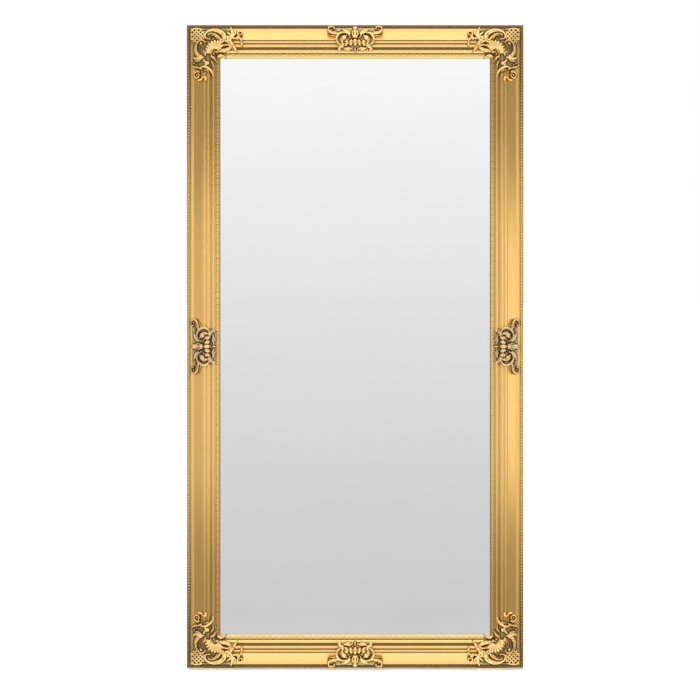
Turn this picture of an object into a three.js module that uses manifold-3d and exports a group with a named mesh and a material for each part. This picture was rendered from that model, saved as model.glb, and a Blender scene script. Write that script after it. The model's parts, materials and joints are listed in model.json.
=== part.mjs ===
// Full-length gilt floor mirror with a folding rear easel strut.
// Millimetres, +Z up, the glass faces -Y, +X is the viewer's right.
// The mirror is drawn upright in its own frame (back plane at y = 0, bottom edge at z = 0),
// then its group is leaned back onto the strut.
import * as THREE from 'three';
import { mergeVertices } from 'three/addons/utils/BufferGeometryUtils.js';
import Module from 'manifold-3d';

const wasm = await Module();
wasm.setup();

// ---- Driving dimensions ----
const frameWidth = 890;
const frameHeight = 1700;
const railWidth = 88;
const rebateWidth = 10;
const rebateDepth = 12;
const glassThickness = 4;
const boardThickness = 3;
const gap = 0.3;

const lean = THREE.MathUtils.degToRad(8);
const strutOpening = THREE.MathUtils.degToRad(16);
const hingeHeight = 1330;

const battenThickness = 20;
const battenDepth = 60;
const battenOverlap = 53;
const strutThickness = 18;
const legWidth = 40;
const legOuterX = 340;
const headRailDepth = 60;
const footRailDepth = 40;
const footRailDrop = 1120;
const tenonLength = 18;
const tenonThickness = 7;
const strutFootThickness = 6;
const padThickness = 2;
const padInnerX = 320;
const padLength = 80;
const padDepth = 11.5;
const padSetback = 1;

const hingeLeafThickness = 2;
const hingeLeafLength = 64;
const hingeLeafDepth = 34;
const knuckleRadius = 4.5;
const hingePinRadius = 2;
const hingePinHeadRadius = 3.4;
const middleKnuckleHalf = 11.2;
const knuckleGap = 0.4;
const hingeX = 210;

const stayFrameDrop = 120;
const stayStrutDrop = 420;
const stayThickness = 3;
const stayWidth = 14;
const stayInnerX = 344.5;
const studRadius = 3;
const collarRadius = 5.5;
const studHeadRadius = 6.5;
const bracketX = 351;
const bracketReach = 50;
const bracketThickness = 2.5;
const earThickness = 3;
const bracketHalfHeight = 17;
const bracketScrewX = 382;
const bracketScrewRise = 10;

const screwRadius = 2.2;
const screwHeadRadius = 4.2;
const screwHeadHeight = 2.4;
const panScrewHoleRadius = 2.4;
const battenScrewInset = 30;
const battenScrewRises = [15, 45];

const pointWidth = 12;
const pointThickness = 0.8;
const pointReach = 9;
const pointHeights = [300, 850, 1400];

const plateInset = 22;
const plateArm = 80;
const plateWidth = 18;
const plateThickness = 1.6;
const plateHoleRuns = [24, 66];

// How much further in from the outer edge the stiles' centre ornaments sit than the rails'.
const stileOrnamentInset = 6;

// ---- Derived places ----
const halfWidth = frameWidth / 2;
const halfHeight = frameHeight / 2;
const openingHalfWidth = halfWidth - railWidth;
const rebateHalfWidth = openingHalfWidth + rebateWidth;
const glassBack = rebateDepth - gap - glassThickness;
const boardBack = glassBack - gap - boardThickness;
const strutBackY = gap + battenThickness;
const strutFrontY = strutBackY - strutThickness;
const strutMiddleY = strutBackY - strutThickness / 2;
const hingeY = strutBackY + gap + knuckleRadius;

// ---- Materials ----
function finish(color, roughness, metalness) {
  return new THREE.MeshStandardMaterial({ color, roughness, metalness });
}

const gilt = () => finish(0xd9b06a, 0.4, 0.6);
const antiqueGilt = () => finish(0xb8904f, 0.45, 0.6);
const silvered = () => finish(0xe4e6e6, 0.05, 1.0);
const fibreboard = () => finish(0x8a6a48, 0.85, 0.0);
const beech = () => finish(0xb98f5e, 0.6, 0.0);
const brass = () => finish(0xb7933f, 0.35, 0.9);
const steel = () => finish(0xa6a8aa, 0.4, 0.9);
const rubber = () => finish(0x202020, 0.9, 0.0);

// ---- Solids ----
function solid(geometry) {
  const bare = geometry.clone();
  bare.deleteAttribute('normal');
  bare.deleteAttribute('uv');
  const merged = mergeVertices(bare, 1e-4);
  return new wasm.Manifold(new wasm.Mesh({
    numProp: 3,
    vertProperties: new Float32Array(merged.attributes.position.array),
    triVerts: new Uint32Array(merged.index.array),
  }));
}

function surface(body) {
  const mesh = body.getMesh();
  const geometry = new THREE.BufferGeometry();
  geometry.setAttribute('position', new THREE.BufferAttribute(mesh.vertProperties, mesh.numProp));
  geometry.setIndex(new THREE.BufferAttribute(mesh.triVerts, 1));
  geometry.computeVertexNormals();
  return geometry;
}

function unite(bodies) {
  return bodies.reduce((whole, body) => whole.add(body));
}

function box(x0, x1, y0, y1, z0, z1) {
  const geometry = new THREE.BoxGeometry(x1 - x0, y1 - y0, z1 - z0);
  return geometry.translate((x0 + x1) / 2, (y0 + y1) / 2, (z0 + z1) / 2);
}

// A round bar along X.
function barX(radius, x0, x1, sides = 12) {
  const geometry = new THREE.CylinderGeometry(radius, radius, x1 - x0, sides);
  return geometry.rotateZ(Math.PI / 2).translate((x0 + x1) / 2, 0, 0);
}

// A polygon of [a, b] points drawn in a plane and given a depth along the third axis.
function prism(points, depth, holes = []) {
  const outline = new THREE.Shape(points.map(([a, b]) => new THREE.Vector2(a, b)));
  outline.holes = holes;
  return new THREE.ExtrudeGeometry(outline, { depth, bevelEnabled: false, curveSegments: 4 });
}

function roundHole(x, y, radius) {
  const hole = new THREE.Path();
  hole.absarc(x, y, radius, 0, Math.PI * 2, true);
  return hole;
}

// A polygon in the (y, z) plane, given its depth along X.
function crossSlab(points, x0, x1) {
  return prism(points, x1 - x0).applyMatrix4(new THREE.Matrix4().set(
    0, 0, 1, x0,
    1, 0, 0, 0,
    0, 1, 0, 0,
    0, 0, 0, 1,
  ));
}

function place(parent, name, shape, material) {
  const geometry = shape.isBufferGeometry ? shape : surface(shape);
  const mesh = new THREE.Mesh(geometry, material);
  mesh.name = name;
  parent.add(mesh);
  return mesh;
}

// ---- Moulding: the section is (w, h), w inward from the outer edge, h forward of the back ----
// Reeds rise from their beds at this angle short of upright.
const reedFoot = 0.5;

function addReed(outline, middle, base, halfWidth, rise) {
  const radiusW = halfWidth / Math.cos(reedFoot);
  const radiusH = rise / (1 - Math.sin(reedFoot));
  const centre = base - radiusH * Math.sin(reedFoot);
  outline.absellipse(middle, centre, radiusW, radiusH, Math.PI - reedFoot, reedFoot, true);
}

function mouldingSection() {
  const outline = new THREE.Shape();
  outline.moveTo(0, 0);
  outline.lineTo(0, 14);
  outline.absellipse(6, 14, 3.3, 4.6, Math.PI, 0, true);
  outline.lineTo(9.6, 14.2);
  outline.lineTo(10.6, 16.3);
  outline.lineTo(17.5, 18.2);
  outline.lineTo(23.2, 20.9);
  outline.lineTo(41.4, 33.6);
  outline.lineTo(42.2, 34);
  outline.lineTo(43.7, 32);
  addReed(outline, 48.2, 31.9, 4.3, 2.9);
  addReed(outline, 57.9, 31.8, 5.2, 3.6);
  outline.lineTo(64.4, 27.6);
  addReed(outline, 71.6, 27.5, 6, 5);
  outline.lineTo(78.3, 25.2);
  outline.absellipse(81.6, 25.2, 2.9, 3.2, Math.PI, 0, true);
  outline.lineTo(87.2, 24.8);
  outline.lineTo(railWidth, 22.5);
  outline.lineTo(railWidth, rebateDepth);
  outline.lineTo(railWidth - rebateWidth, rebateDepth);
  outline.lineTo(railWidth - rebateWidth, 0);
  outline.lineTo(0, 0);
  return outline;
}

// The smooth cover that just clears the moulding, lifted a given amount.
function coverSection(lift) {
  const crest = [
    [0.4, 19.4], [9, 19.4], [11.5, 18.4], [18, 20.6], [27, 25.6], [42, 37], [62.5, 37],
    [67, 34.4], [77, 34.4], [84.8, 29.6], [87, 25.8],
  ];
  const floor = -2;
  const points = crest.map(([w, h]) => new THREE.Vector2(w, h + lift));
  points.push(new THREE.Vector2(87, floor), new THREE.Vector2(0.4, floor));
  return new THREE.Shape(points);
}

// One mitred length of a section, lying along the bottom edge of a frame of the given size.
function mitredLength(section, length, across, clearance) {
  const bar = new THREE.ExtrudeGeometry(section, { depth: length, bevelEnabled: false, curveSegments: 4 });
  bar.applyMatrix4(new THREE.Matrix4().set(
    0, 0, 1, -length / 2,
    0, -1, 0, 0,
    1, 0, 0, -across / 2,
    0, 0, 0, 1,
  ));
  const end = length / 2 - clearance;
  const reach = railWidth + 20;
  const deep = 120;
  const wedge = prism([[-end, 0], [end, 0], [end - reach, reach], [reach - end, reach]], deep);
  wedge.rotateX(Math.PI / 2).translate(0, deep / 2, -across / 2);
  return solid(bar).intersect(solid(wedge));
}

const frameSides = [
  { name: 'bottom_rail', turn: 0, length: frameWidth, across: frameHeight },
  { name: 'left_stile', turn: 1, length: frameHeight, across: frameWidth },
  { name: 'top_rail', turn: 2, length: frameWidth, across: frameHeight },
  { name: 'right_stile', turn: 3, length: frameHeight, across: frameWidth },
];

function frameSide(side, section, clearance) {
  const bar = mitredLength(section, side.length, side.across, clearance);
  return bar.rotate([0, side.turn * 90, 0]).translate([0, 0, halfHeight]);
}

// ---- Applied ornament: soft shapes raised on a skin that follows the moulding ----
const cover = unite(frameSides.map((side) => frameSide(side, coverSection(0), 0)));
const skinLift = 2.6;
const skin = unite(frameSides.map((side) => frameSide(side, coverSection(skinLift), -0.1)));

// A rounded lump; centre and radii as [a, b, h].
function lump([a, b, h], [ra, rb, rh], turn = 0) {
  const geometry = new THREE.SphereGeometry(1, 7, 4).rotateX(Math.PI / 2);
  return solid(geometry.scale(ra, rb, rh).rotateZ(turn).translate(a, b, h));
}

// A scroll: a six-sided rod along a smooth curve through [a, b] points.
function scroll(points, radius, height, steps = 7) {
  const path = new THREE.CatmullRomCurve3(points.map(([a, b]) => new THREE.Vector3(a, b, height)));
  const section = new THREE.Shape();
  section.absarc(0, 0, radius, 0, Math.PI * 2, false);
  return solid(new THREE.ExtrudeGeometry(section, { steps, curveSegments: 3, extrudePath: path }));
}

// A ring lying on the ornament, with its eye open down to the skin.
function ring(a, b, height, radius, thickness) {
  return solid(new THREE.TorusGeometry(radius, thickness, 4, 8).translate(a, b, height));
}

function plaque(points) {
  return solid(prism(points, 80).translate(0, 0, -10));
}

// Corner ornament, drawn for a corner with a along the rail and b along the stile, both inward.
function cornerRelief() {
  const outline = plaque([
    [12, 9], [62, 8], [120, 5], [152, 9], [156, 22], [148, 34], [150, 52], [143, 56], [133, 46],
    [137, 74], [104, 70], [98, 84], [86, 86], [84, 100], [76, 124], [62, 142], [50, 150], [30, 149],
    [17, 138], [18, 100], [15, 60],
  ]);
  const flutes = [0, 1, 2, 3].map((step) => {
    const angle = Math.PI * (0.7 + 0.21 * step);
    const a = 72 + 17 * Math.cos(angle);
    const b = 68 + 17 * Math.sin(angle);
    return lump([a, b, 36], [14, 6, 8], angle);
  });
  return {
    outline,
    raised: [
      scroll([[66, 42], [54, 36], [53, 24], [70, 16], [92, 20], [104, 34]], 5, 35),
      scroll([[44, 62], [36, 52], [26, 52], [22, 70], [26, 88], [44, 100]], 5, 33),
      ...flutes,
      lump([72, 70, 36], [9, 9, 7]),
      lump([110, 56, 37], [28, 10, 7], 0.55),
      lump([118, 22, 30], [9, 12, 9]),
      ring(147, 22, 31, 6.5, 3),
      lump([147, 46, 37], [5, 7, 6]),
      lump([120, 38, 35], [17, 4, 6]),
      lump([26, 107, 28], [15, 7, 9], 0.3),
      ring(30, 134, 30, 8.5, 3.8),
      lump([51, 142, 36], [7, 6, 6]),
      scroll([[44, 108], [60, 112], [70, 130]], 3.4, 38, 4),
      scroll([[14, 12], [44, 38]], 3, 25, 2),
      scroll([[42, 12], [16, 38]], 3, 25, 2),
    ],
  };
}

// Centre ornament, drawn with a along the member (0 in its middle) and b inward.
function centreRelief() {
  const half = [
    [0, 7], [12, 8], [30, 13], [60, 7], [75, 10], [77, 24], [58, 38], [53, 52], [50, 68], [30, 72],
  ];
  const horn = [[66, 15], [71, 20], [62, 28], [40, 28], [22, 19], [13, 26]];
  const mirrored = half.slice(1).reverse().map(([a, b]) => [-a, b]);
  const outline = plaque([...half, [0, 75], ...mirrored]);
  const sides = [-1, 1].flatMap((side) => [
    scroll(horn.map(([a, b]) => [side * a, b]), 4.2, 30),
    lump([side * 27, 38, 36], [10, 10, 7]),
    lump([side * 44, 45, 37], [7, 10, 6]),
    lump([side * 42, 66, 34], [7, 5, 6], side * 0.4),
    lump([side * 17, 65, 35], [12, 4, 6]),
  ]);
  const flutes = [-2, -1, 0, 1, 2].map((step) => lump([step * 11, 51, 37], [6.5, 11, 9], -step * 0.16));
  return { outline, raised: [lump([0, 18, 31], [8, 12, 10]), ...sides, ...flutes] };
}

// Lays a drawn relief onto the frame front: matrix takes (a, b, h) to the mirror's frame.
function applied(relief, matrix) {
  const raised = unite(relief.raised.map((body) => body.transform(matrix.elements)));
  const base = skin.intersect(relief.outline.transform(matrix.elements));
  const whole = base.add(raised).subtract(cover);
  const bodies = whole.decompose();
  return bodies.reduce((large, body) => (body.volume() > large.volume() ? body : large));
}

function cornerMatrix(sideX, sideZ) {
  return new THREE.Matrix4().set(
    -sideX, 0, 0, sideX * halfWidth,
    0, 0, -1, 0,
    0, -sideZ, 0, halfHeight + sideZ * halfHeight,
    0, 0, 0, 1,
  );
}

function centreMatrix(turn) {
  const upright = new THREE.Matrix4().set(
    1, 0, 0, 0,
    0, 0, -1, 0,
    0, 1, 0, turn % 2 ? stileOrnamentInset - halfWidth : -halfHeight,
    0, 0, 0, 1,
  );
  const turned = new THREE.Matrix4().makeRotationY(turn * Math.PI / 2);
  return new THREE.Matrix4().makeTranslation(0, 0, halfHeight).multiply(turned).multiply(upright);
}

// ---- Fasteners ----
// A countersunk screw with its head's top face at the origin, pointing along -Y into the wood.
function screw(length, clearance = 0) {
  const head = screwHeadRadius + clearance;
  const shank = screwRadius + clearance;
  const tip = length + clearance;
  const profile = [
    [0, -tip], [shank * 0.4, -tip], [shank, -tip + 4], [shank, -screwHeadHeight], [head, 0], [0, 0],
  ];
  return new THREE.LatheGeometry(profile.map(([r, y]) => new THREE.Vector2(r, y)), 8);
}

// The hole for such a screw, open a little past the head's face.
function screwHole(length) {
  const mouth = new THREE.CylinderGeometry(screwHeadRadius + gap, screwHeadRadius + gap, 1, 8);
  return solid(screw(length, gap)).add(solid(mouth.translate(0, 0.5, 0)));
}

// ---- The leaned mirror ----
const mirror = new THREE.Group();
mirror.rotation.x = -lean;

const battenBottom = hingeHeight + 2;
const battenHalf = openingHalfWidth + battenOverlap;
const battenScrews = [-1, 1].flatMap((side) => battenScrewRises.map((rise) => ({
  x: side * (openingHalfWidth + battenScrewInset),
  z: battenBottom + rise,
})));
const battenScrewLength = 32;

// Glazing points sit in slots in the rebate wall, one row per member.
const glazingPoints = [
  ...pointHeights.flatMap((z) => [{ turn: 1, along: z - halfHeight }, { turn: 3, along: halfHeight - z }]),
  { turn: 0, along: 0 },
  { turn: 2, along: 0 },
];
const pointBackH = boardBack - gap - pointThickness;

// Takes a shape drawn on the bottom member to another member of the frame.
function toMember(geometry, turn) {
  const across = turn % 2 ? halfWidth : halfHeight;
  return geometry.translate(0, 0, -across).rotateY(turn * Math.PI / 2).translate(0, 0, halfHeight);
}

function glazingSlot({ turn, along }) {
  const half = pointWidth / 2 + gap;
  const wall = railWidth - rebateWidth;
  const front = -(pointBackH + pointThickness + gap);
  const slot = box(along - half, along + half, front, gap - pointBackH, wall - pointReach, wall + 1);
  return solid(toMember(slot, turn));
}

function glazingPoint({ turn, along }) {
  const wall = railWidth - rebateWidth;
  const half = pointWidth / 2;
  const tab = prism([
    [along - half, wall + pointReach], [along - half, wall - 5], [along, wall - pointReach + 0.4],
    [along + half, wall - 5], [along + half, wall + pointReach],
  ], pointThickness);
  tab.rotateX(Math.PI / 2).translate(0, -pointBackH, 0);
  return toMember(tab, turn);
}

frameSides.forEach((side) => {
  let rail = frameSide(side, mouldingSection(), 0.22);
  glazingPoints.filter((point) => point.turn === side.turn).forEach((point) => {
    rail = rail.subtract(glazingSlot(point));
  });
  battenScrews.forEach(({ x, z }) => {
    if (side.name === (x < 0 ? 'left_stile' : 'right_stile')) {
      rail = rail.subtract(screwHole(battenScrewLength).translate([x, strutBackY, z]));
    }
  });
  place(mirror, side.name, rail, gilt());
});

const corners = [
  ['top_left', -1, 1], ['top_right', 1, 1], ['bottom_left', -1, -1], ['bottom_right', 1, -1],
];
corners.forEach(([name, sideX, sideZ]) => {
  const body = applied(cornerRelief(), cornerMatrix(sideX, sideZ));
  place(mirror, `corner_ornament_${name}`, body, antiqueGilt());
});
['bottom', 'left', 'top', 'right'].forEach((name, turn) => {
  place(mirror, `centre_ornament_${name}`, applied(centreRelief(), centreMatrix(turn)), antiqueGilt());
});

const glassPlay = 1.5;
const glassHalfX = rebateHalfWidth - glassPlay;
const glassEdge = railWidth - rebateWidth + glassPlay;
place(
  mirror,
  'mirror_glass',
  box(-glassHalfX, glassHalfX, -glassBack - glassThickness, -glassBack, glassEdge, frameHeight - glassEdge),
  silvered(),
);
place(
  mirror,
  'backing_board',
  box(-glassHalfX, glassHalfX, -boardBack - boardThickness, -boardBack, glassEdge, frameHeight - glassEdge),
  fibreboard(),
);
glazingPoints.forEach((point, index) => {
  place(mirror, `glazing_point_${index + 1}`, glazingPoint(point), steel());
});

// Flat corner plates across the mitres.
function mitrePlate(sideX, sideZ) {
  const near = plateInset;
  const inner = plateInset + plateWidth;
  const far = plateInset + plateArm;
  const outline = [[near, near], [far, near], [far, inner], [inner, inner], [inner, far], [near, far]];
  const middle = plateInset + plateWidth / 2;
  const holes = plateHoleRuns.flatMap((run) => [
    roundHole(plateInset + run, middle, panScrewHoleRadius),
    roundHole(middle, plateInset + run, panScrewHoleRadius),
  ]);
  const plate = prism(outline, plateThickness, holes).translate(0, 0, -plateThickness - gap);
  return solid(plate).transform(cornerMatrix(sideX, sideZ).elements);
}
corners.forEach(([name, sideX, sideZ]) => {
  place(mirror, `mitre_plate_${name}`, mitrePlate(sideX, sideZ), steel());
});

// ---- Hinge batten, hinges and their screws ----
const hingeScrewX = 20;
const hingeScrewRise = 24;
const hingeScrewLength = 17;
const leafFrontY = strutBackY + gap;
const leafBackY = leafFrontY + hingeLeafThickness;

function leafScrewSpots(direction) {
  return [-1, 1].flatMap((side) => [-1, 1].map((end) => ({
    hinge: side,
    x: side * hingeX + end * hingeScrewX,
    z: direction * hingeScrewRise,
  })));
}
const frameLeafScrews = leafScrewSpots(1);
const strutLeafScrews = leafScrewSpots(-1);

let batten = solid(box(-battenHalf, battenHalf, gap, strutBackY, battenBottom, battenBottom + battenDepth));
battenScrews.forEach(({ x, z }) => {
  batten = batten.subtract(screwHole(battenScrewLength).translate([x, strutBackY, z]));
});
frameLeafScrews.forEach(({ x, z }) => {
  batten = batten.subtract(screwHole(hingeScrewLength).translate([x, leafBackY, hingeHeight + z]));
});
place(mirror, 'hinge_batten', batten, beech());
battenScrews.forEach(({ x, z }, index) => {
  const piece = place(mirror, `batten_screw_${index + 1}`, screw(battenScrewLength), steel());
  piece.position.set(x, strutBackY, z);
});

// A hinge leaf about the pin at the origin; direction is +1 for the leaf above the pin.
function hingeLeaf(direction, knuckles) {
  const half = hingeLeafLength / 2;
  const front = -knuckleRadius;
  const back = front + hingeLeafThickness;
  const clear = knuckleRadius + 0.7;
  const span = (from, to) => (direction > 0 ? [from, to] : [-to, -from]);
  let leaf = solid(box(-half, half, front, back, ...span(clear, hingeLeafDepth)));
  knuckles.forEach(([x0, x1]) => {
    leaf = leaf.add(solid(box(x0, x1, front, back, ...span(0, clear + 1))));
    leaf = leaf.add(solid(barX(knuckleRadius, x0, x1)));
  });
  leaf = leaf.subtract(solid(barX(hingePinRadius + gap, -half - 1, half + 1)));
  [-hingeScrewX, hingeScrewX].forEach((x) => {
    leaf = leaf.subtract(screwHole(hingeScrewLength).translate([x, back, direction * hingeScrewRise]));
  });
  return leaf;
}

function hingePin() {
  const half = hingeLeafLength / 2;
  const shaft = solid(barX(hingePinRadius, -half - 1, half + 1));
  const heads = [-1, 1].map((side) => {
    const inner = side * (half + 0.4);
    const outer = side * (half + 2);
    return solid(barX(hingePinHeadRadius, Math.min(inner, outer), Math.max(inner, outer)));
  });
  return unite([shaft, ...heads]);
}

const sideNames = { '-1': 'left', 1: 'right' };
const middleKnuckle = [[-middleKnuckleHalf, middleKnuckleHalf]];
const outerKnuckles = [
  [-hingeLeafLength / 2, -middleKnuckleHalf - knuckleGap],
  [middleKnuckleHalf + knuckleGap, hingeLeafLength / 2],
];
[-1, 1].forEach((side) => {
  const leaf = place(mirror, `hinge_frame_leaf_${sideNames[side]}`, hingeLeaf(1, outerKnuckles), brass());
  leaf.position.set(side * hingeX, hingeY, hingeHeight);
  const pin = place(mirror, `hinge_pin_${sideNames[side]}`, hingePin(), steel());
  pin.position.set(side * hingeX, hingeY, hingeHeight);
});
frameLeafScrews.forEach(({ x, z }, index) => {
  const piece = place(mirror, `hinge_frame_screw_${index + 1}`, screw(hingeScrewLength), brass());
  piece.position.set(x, leafBackY, hingeHeight + z);
});

// ---- Floor pads: level underneath although the frame leans ----
const floorLevel = -(gap + padThickness);
const floorZ = (y) => (floorLevel + y * Math.sin(lean)) / Math.cos(lean);
[-1, 1].forEach((side) => {
  const near = side * padInnerX;
  const far = side * (padInnerX + padLength);
  const back = -padSetback;
  const front = back - padDepth;
  const outline = [[front, floorZ(front)], [back, floorZ(back)], [back, -gap], [front, -gap]];
  const pad = crossSlab(outline, Math.min(near, far), Math.max(near, far));
  place(mirror, `base_pad_${sideNames[side]}`, pad, rubber());
});

// ---- Strut: a ladder frame hung on the hinge pins ----
const strut = new THREE.Group();
strut.position.set(0, hingeY, hingeHeight);
strut.rotation.x = strutOpening;
mirror.add(strut);

const strutLean = strutOpening - lean;
const hingeAboveFloor = hingeHeight * Math.cos(lean) - hingeY * Math.sin(lean) - floorLevel;
const frontY = strutFrontY - hingeY;
const backY = strutBackY - hingeY;
const middleY = strutMiddleY - hingeY;
const strutTop = -2;
// Height, in the strut's frame, of a level plane a given distance above the floor.
const levelZ = (y, rise) => (rise - hingeAboveFloor - y * Math.sin(strutLean)) / Math.cos(strutLean);

const legInnerX = legOuterX - legWidth;
const rails = [
  { name: 'strut_head_rail', top: strutTop, depth: headRailDepth },
  { name: 'strut_foot_rail', top: -footRailDrop, depth: footRailDepth },
];
const shoulder = 8;
const spacerReach = stayInnerX - gap - 0.1;

function legSection() {
  const chamfer = 2;
  return [
    [legInnerX + chamfer, frontY], [legOuterX - chamfer, frontY], [legOuterX, frontY + chamfer],
    [legOuterX, backY - chamfer], [legOuterX - chamfer, backY], [legInnerX + chamfer, backY],
    [legInnerX, backY - chamfer], [legInnerX, frontY + chamfer],
  ];
}

function strutLeg(side) {
  const bottom = levelZ(frontY, 0) - 20;
  let leg = solid(prism(legSection(), strutTop - bottom).translate(0, 0, bottom));
  const keep = crossSlab([
    [frontY - 5, levelZ(frontY - 5, strutFootThickness + gap)],
    [backY + 5, levelZ(backY + 5, strutFootThickness + gap)],
    [backY + 5, 10], [frontY - 5, 10],
  ], 0, 400);
  leg = leg.intersect(solid(keep));
  rails.forEach(({ top, depth }) => {
    const pocket = tenonThickness / 2 + gap;
    leg = leg.subtract(solid(box(
      legInnerX - 5, legInnerX + tenonLength + gap, middleY - pocket, middleY + pocket,
      top - depth + shoulder - gap, top - shoulder + gap,
    )));
  });
  const studHole = barX(studRadius + gap, legOuterX - 14, legOuterX + 5).translate(0, middleY, -stayStrutDrop);
  leg = leg.subtract(solid(studHole));
  return side > 0 ? leg : leg.mirror([1, 0, 0]);
}

function strutFoot(side) {
  const inset = 0.8;
  const front = frontY + inset;
  const back = backY - inset;
  const foot = crossSlab([
    [front, levelZ(front, 0)], [back, levelZ(back, 0)],
    [back, levelZ(back, strutFootThickness)], [front, levelZ(front, strutFootThickness)],
  ], legInnerX + inset, legOuterX - inset);
  return side > 0 ? solid(foot) : solid(foot).mirror([1, 0, 0]);
}

function strutStud(side) {
  const shaft = barX(studRadius, legOuterX - 13, stayInnerX + stayThickness + 1);
  const collar = barX(collarRadius, legOuterX + gap, spacerReach);
  const head = barX(studHeadRadius, stayInnerX + stayThickness + 0.4, stayInnerX + stayThickness + 2.6);
  const stud = unite([shaft, collar, head].map(solid)).translate([0, middleY, -stayStrutDrop]);
  return side > 0 ? stud : stud.mirror([1, 0, 0]);
}

[-1, 1].forEach((side) => {
  place(strut, `strut_leg_${sideNames[side]}`, strutLeg(side), beech());
  place(strut, `strut_foot_${sideNames[side]}`, strutFoot(side), rubber());
  place(strut, `stay_stud_${sideNames[side]}`, strutStud(side), brass());
  const leaf = place(strut, `hinge_strut_leaf_${sideNames[side]}`, hingeLeaf(-1, middleKnuckle), brass());
  leaf.position.set(side * hingeX, 0, 0);
});
rails.forEach(({ name, top, depth }) => {
  const reach = legInnerX - gap;
  const tenon = legInnerX + tenonLength;
  const half = tenonThickness / 2;
  let rail = solid(box(-reach, reach, frontY, backY, top - depth, top));
  rail = rail.add(solid(box(
    -tenon, tenon, middleY - half, middleY + half, top - depth + shoulder, top - shoulder,
  )));
  if (name === 'strut_head_rail') {
    strutLeafScrews.forEach(({ x, z }) => {
      rail = rail.subtract(screwHole(hingeScrewLength).translate([x, leafBackY - hingeY, z]));
    });
  }
  place(strut, name, rail, beech());
});
strutLeafScrews.forEach(({ x, z }, index) => {
  const piece = place(strut, `hinge_strut_screw_${index + 1}`, screw(hingeScrewLength), brass());
  piece.position.set(x, leafBackY - hingeY, z);
});

// ---- Slotted stays: pivoted on the stiles, sliding on the strut's studs ----
// From the pivot to the stud, in the plane across the hinge axis, with the strut at an opening.
function pivotToStud(opening) {
  const stud = new THREE.Vector2(middleY, -stayStrutDrop).rotateAround(new THREE.Vector2(), opening);
  return stud.sub(new THREE.Vector2(middleY, -stayFrameDrop));
}
const stayOpenReach = pivotToStud(strutOpening);
const stayAngle = Math.atan2(stayOpenReach.x, -stayOpenReach.y);
const slotEnd = stayOpenReach.length();
const slotStart = pivotToStud(0).length();

function stayArm(x0, x1) {
  const half = stayWidth / 2;
  const outline = new THREE.Shape();
  outline.absarc(0, 0, half, 0, Math.PI, false);
  outline.absarc(0, -slotEnd - 3, half, Math.PI, Math.PI * 2, false);
  const eye = roundHole(0, 0, studRadius + 0.4);
  const slotHalf = studRadius + 1;
  const slot = new THREE.Path();
  slot.absarc(0, -slotStart + 0.6, slotHalf, 0, Math.PI, false);
  slot.absarc(0, -slotEnd + 0.6, slotHalf, Math.PI, Math.PI * 2, false);
  outline.holes = [eye, slot];
  const arm = new THREE.ExtrudeGeometry(outline, { depth: x1 - x0, bevelEnabled: false, curveSegments: 6 });
  return arm.applyMatrix4(new THREE.Matrix4().set(
    0, 0, 1, x0,
    1, 0, 0, 0,
    0, 1, 0, 0,
    0, 0, 0, 1,
  ));
}

function stayBracket(side) {
  const tall = bracketHalfHeight;
  const foot = box(bracketX, bracketX + bracketReach, gap, gap + bracketThickness, -tall, tall);
  const ear = crossSlab([
    [gap, -tall], [gap, tall], [strutMiddleY, tall - 8], [strutMiddleY + 7, 5],
    [strutMiddleY + 7, -5], [strutMiddleY, 8 - tall],
  ], bracketX, bracketX + earThickness);
  const arm = { inner: stayInnerX, outer: stayInnerX + stayThickness };
  const pivot = barX(studRadius, arm.inner - 2, bracketX + 1);
  const head = barX(collarRadius, arm.inner - 2.5, arm.inner - 0.4);
  const collar = barX(collarRadius - 0.5, arm.outer + 0.4, bracketX + 1);
  const turned = [pivot, head, collar].map((bar) => bar.translate(0, strutMiddleY, 0));
  let bracket = unite([foot, ear, ...turned].map(solid));
  [-bracketScrewRise, bracketScrewRise].forEach((z) => {
    const hole = new THREE.CylinderGeometry(panScrewHoleRadius, panScrewHoleRadius, 10, 8);
    bracket = bracket.subtract(solid(hole.translate(bracketScrewX, 1.5, z)));
  });
  return side > 0 ? bracket : bracket.mirror([1, 0, 0]);
}

[-1, 1].forEach((side) => {
  const bracket = place(mirror, `stay_bracket_${sideNames[side]}`, stayBracket(side), brass());
  bracket.position.z = hingeHeight - stayFrameDrop;
  const stay = new THREE.Group();
  stay.position.set(0, strutMiddleY, hingeHeight - stayFrameDrop);
  stay.rotation.x = stayAngle;
  mirror.add(stay);
  const near = side * stayInnerX;
  const far = side * (stayInnerX + stayThickness);
  place(stay, `stay_arm_${sideNames[side]}`, stayArm(Math.min(near, far), Math.max(near, far)), brass());
});

// ---- Stand the whole on the floor, centred on its footprint ----
const standing = new THREE.Group();
standing.add(mirror);
const extent = new THREE.Box3().setFromObject(standing, true);
mirror.position.y = -(extent.min.y + extent.max.y) / 2;
mirror.position.z = -extent.min.z;

export default standing;
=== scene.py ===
"""Full-length gilt floor mirror on a folding easel strut: the fine surface over its CAD frame.

Drawn in millimetres in the mirror's own upright frame (x right, y back, z up, back plane at y = 0,
bottom edge at z = 0), then leaned back with it and turned to metres.
"""
import json
import math

import bmesh
import bpy
import numpy as np
from mathutils import Matrix, Vector

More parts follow.
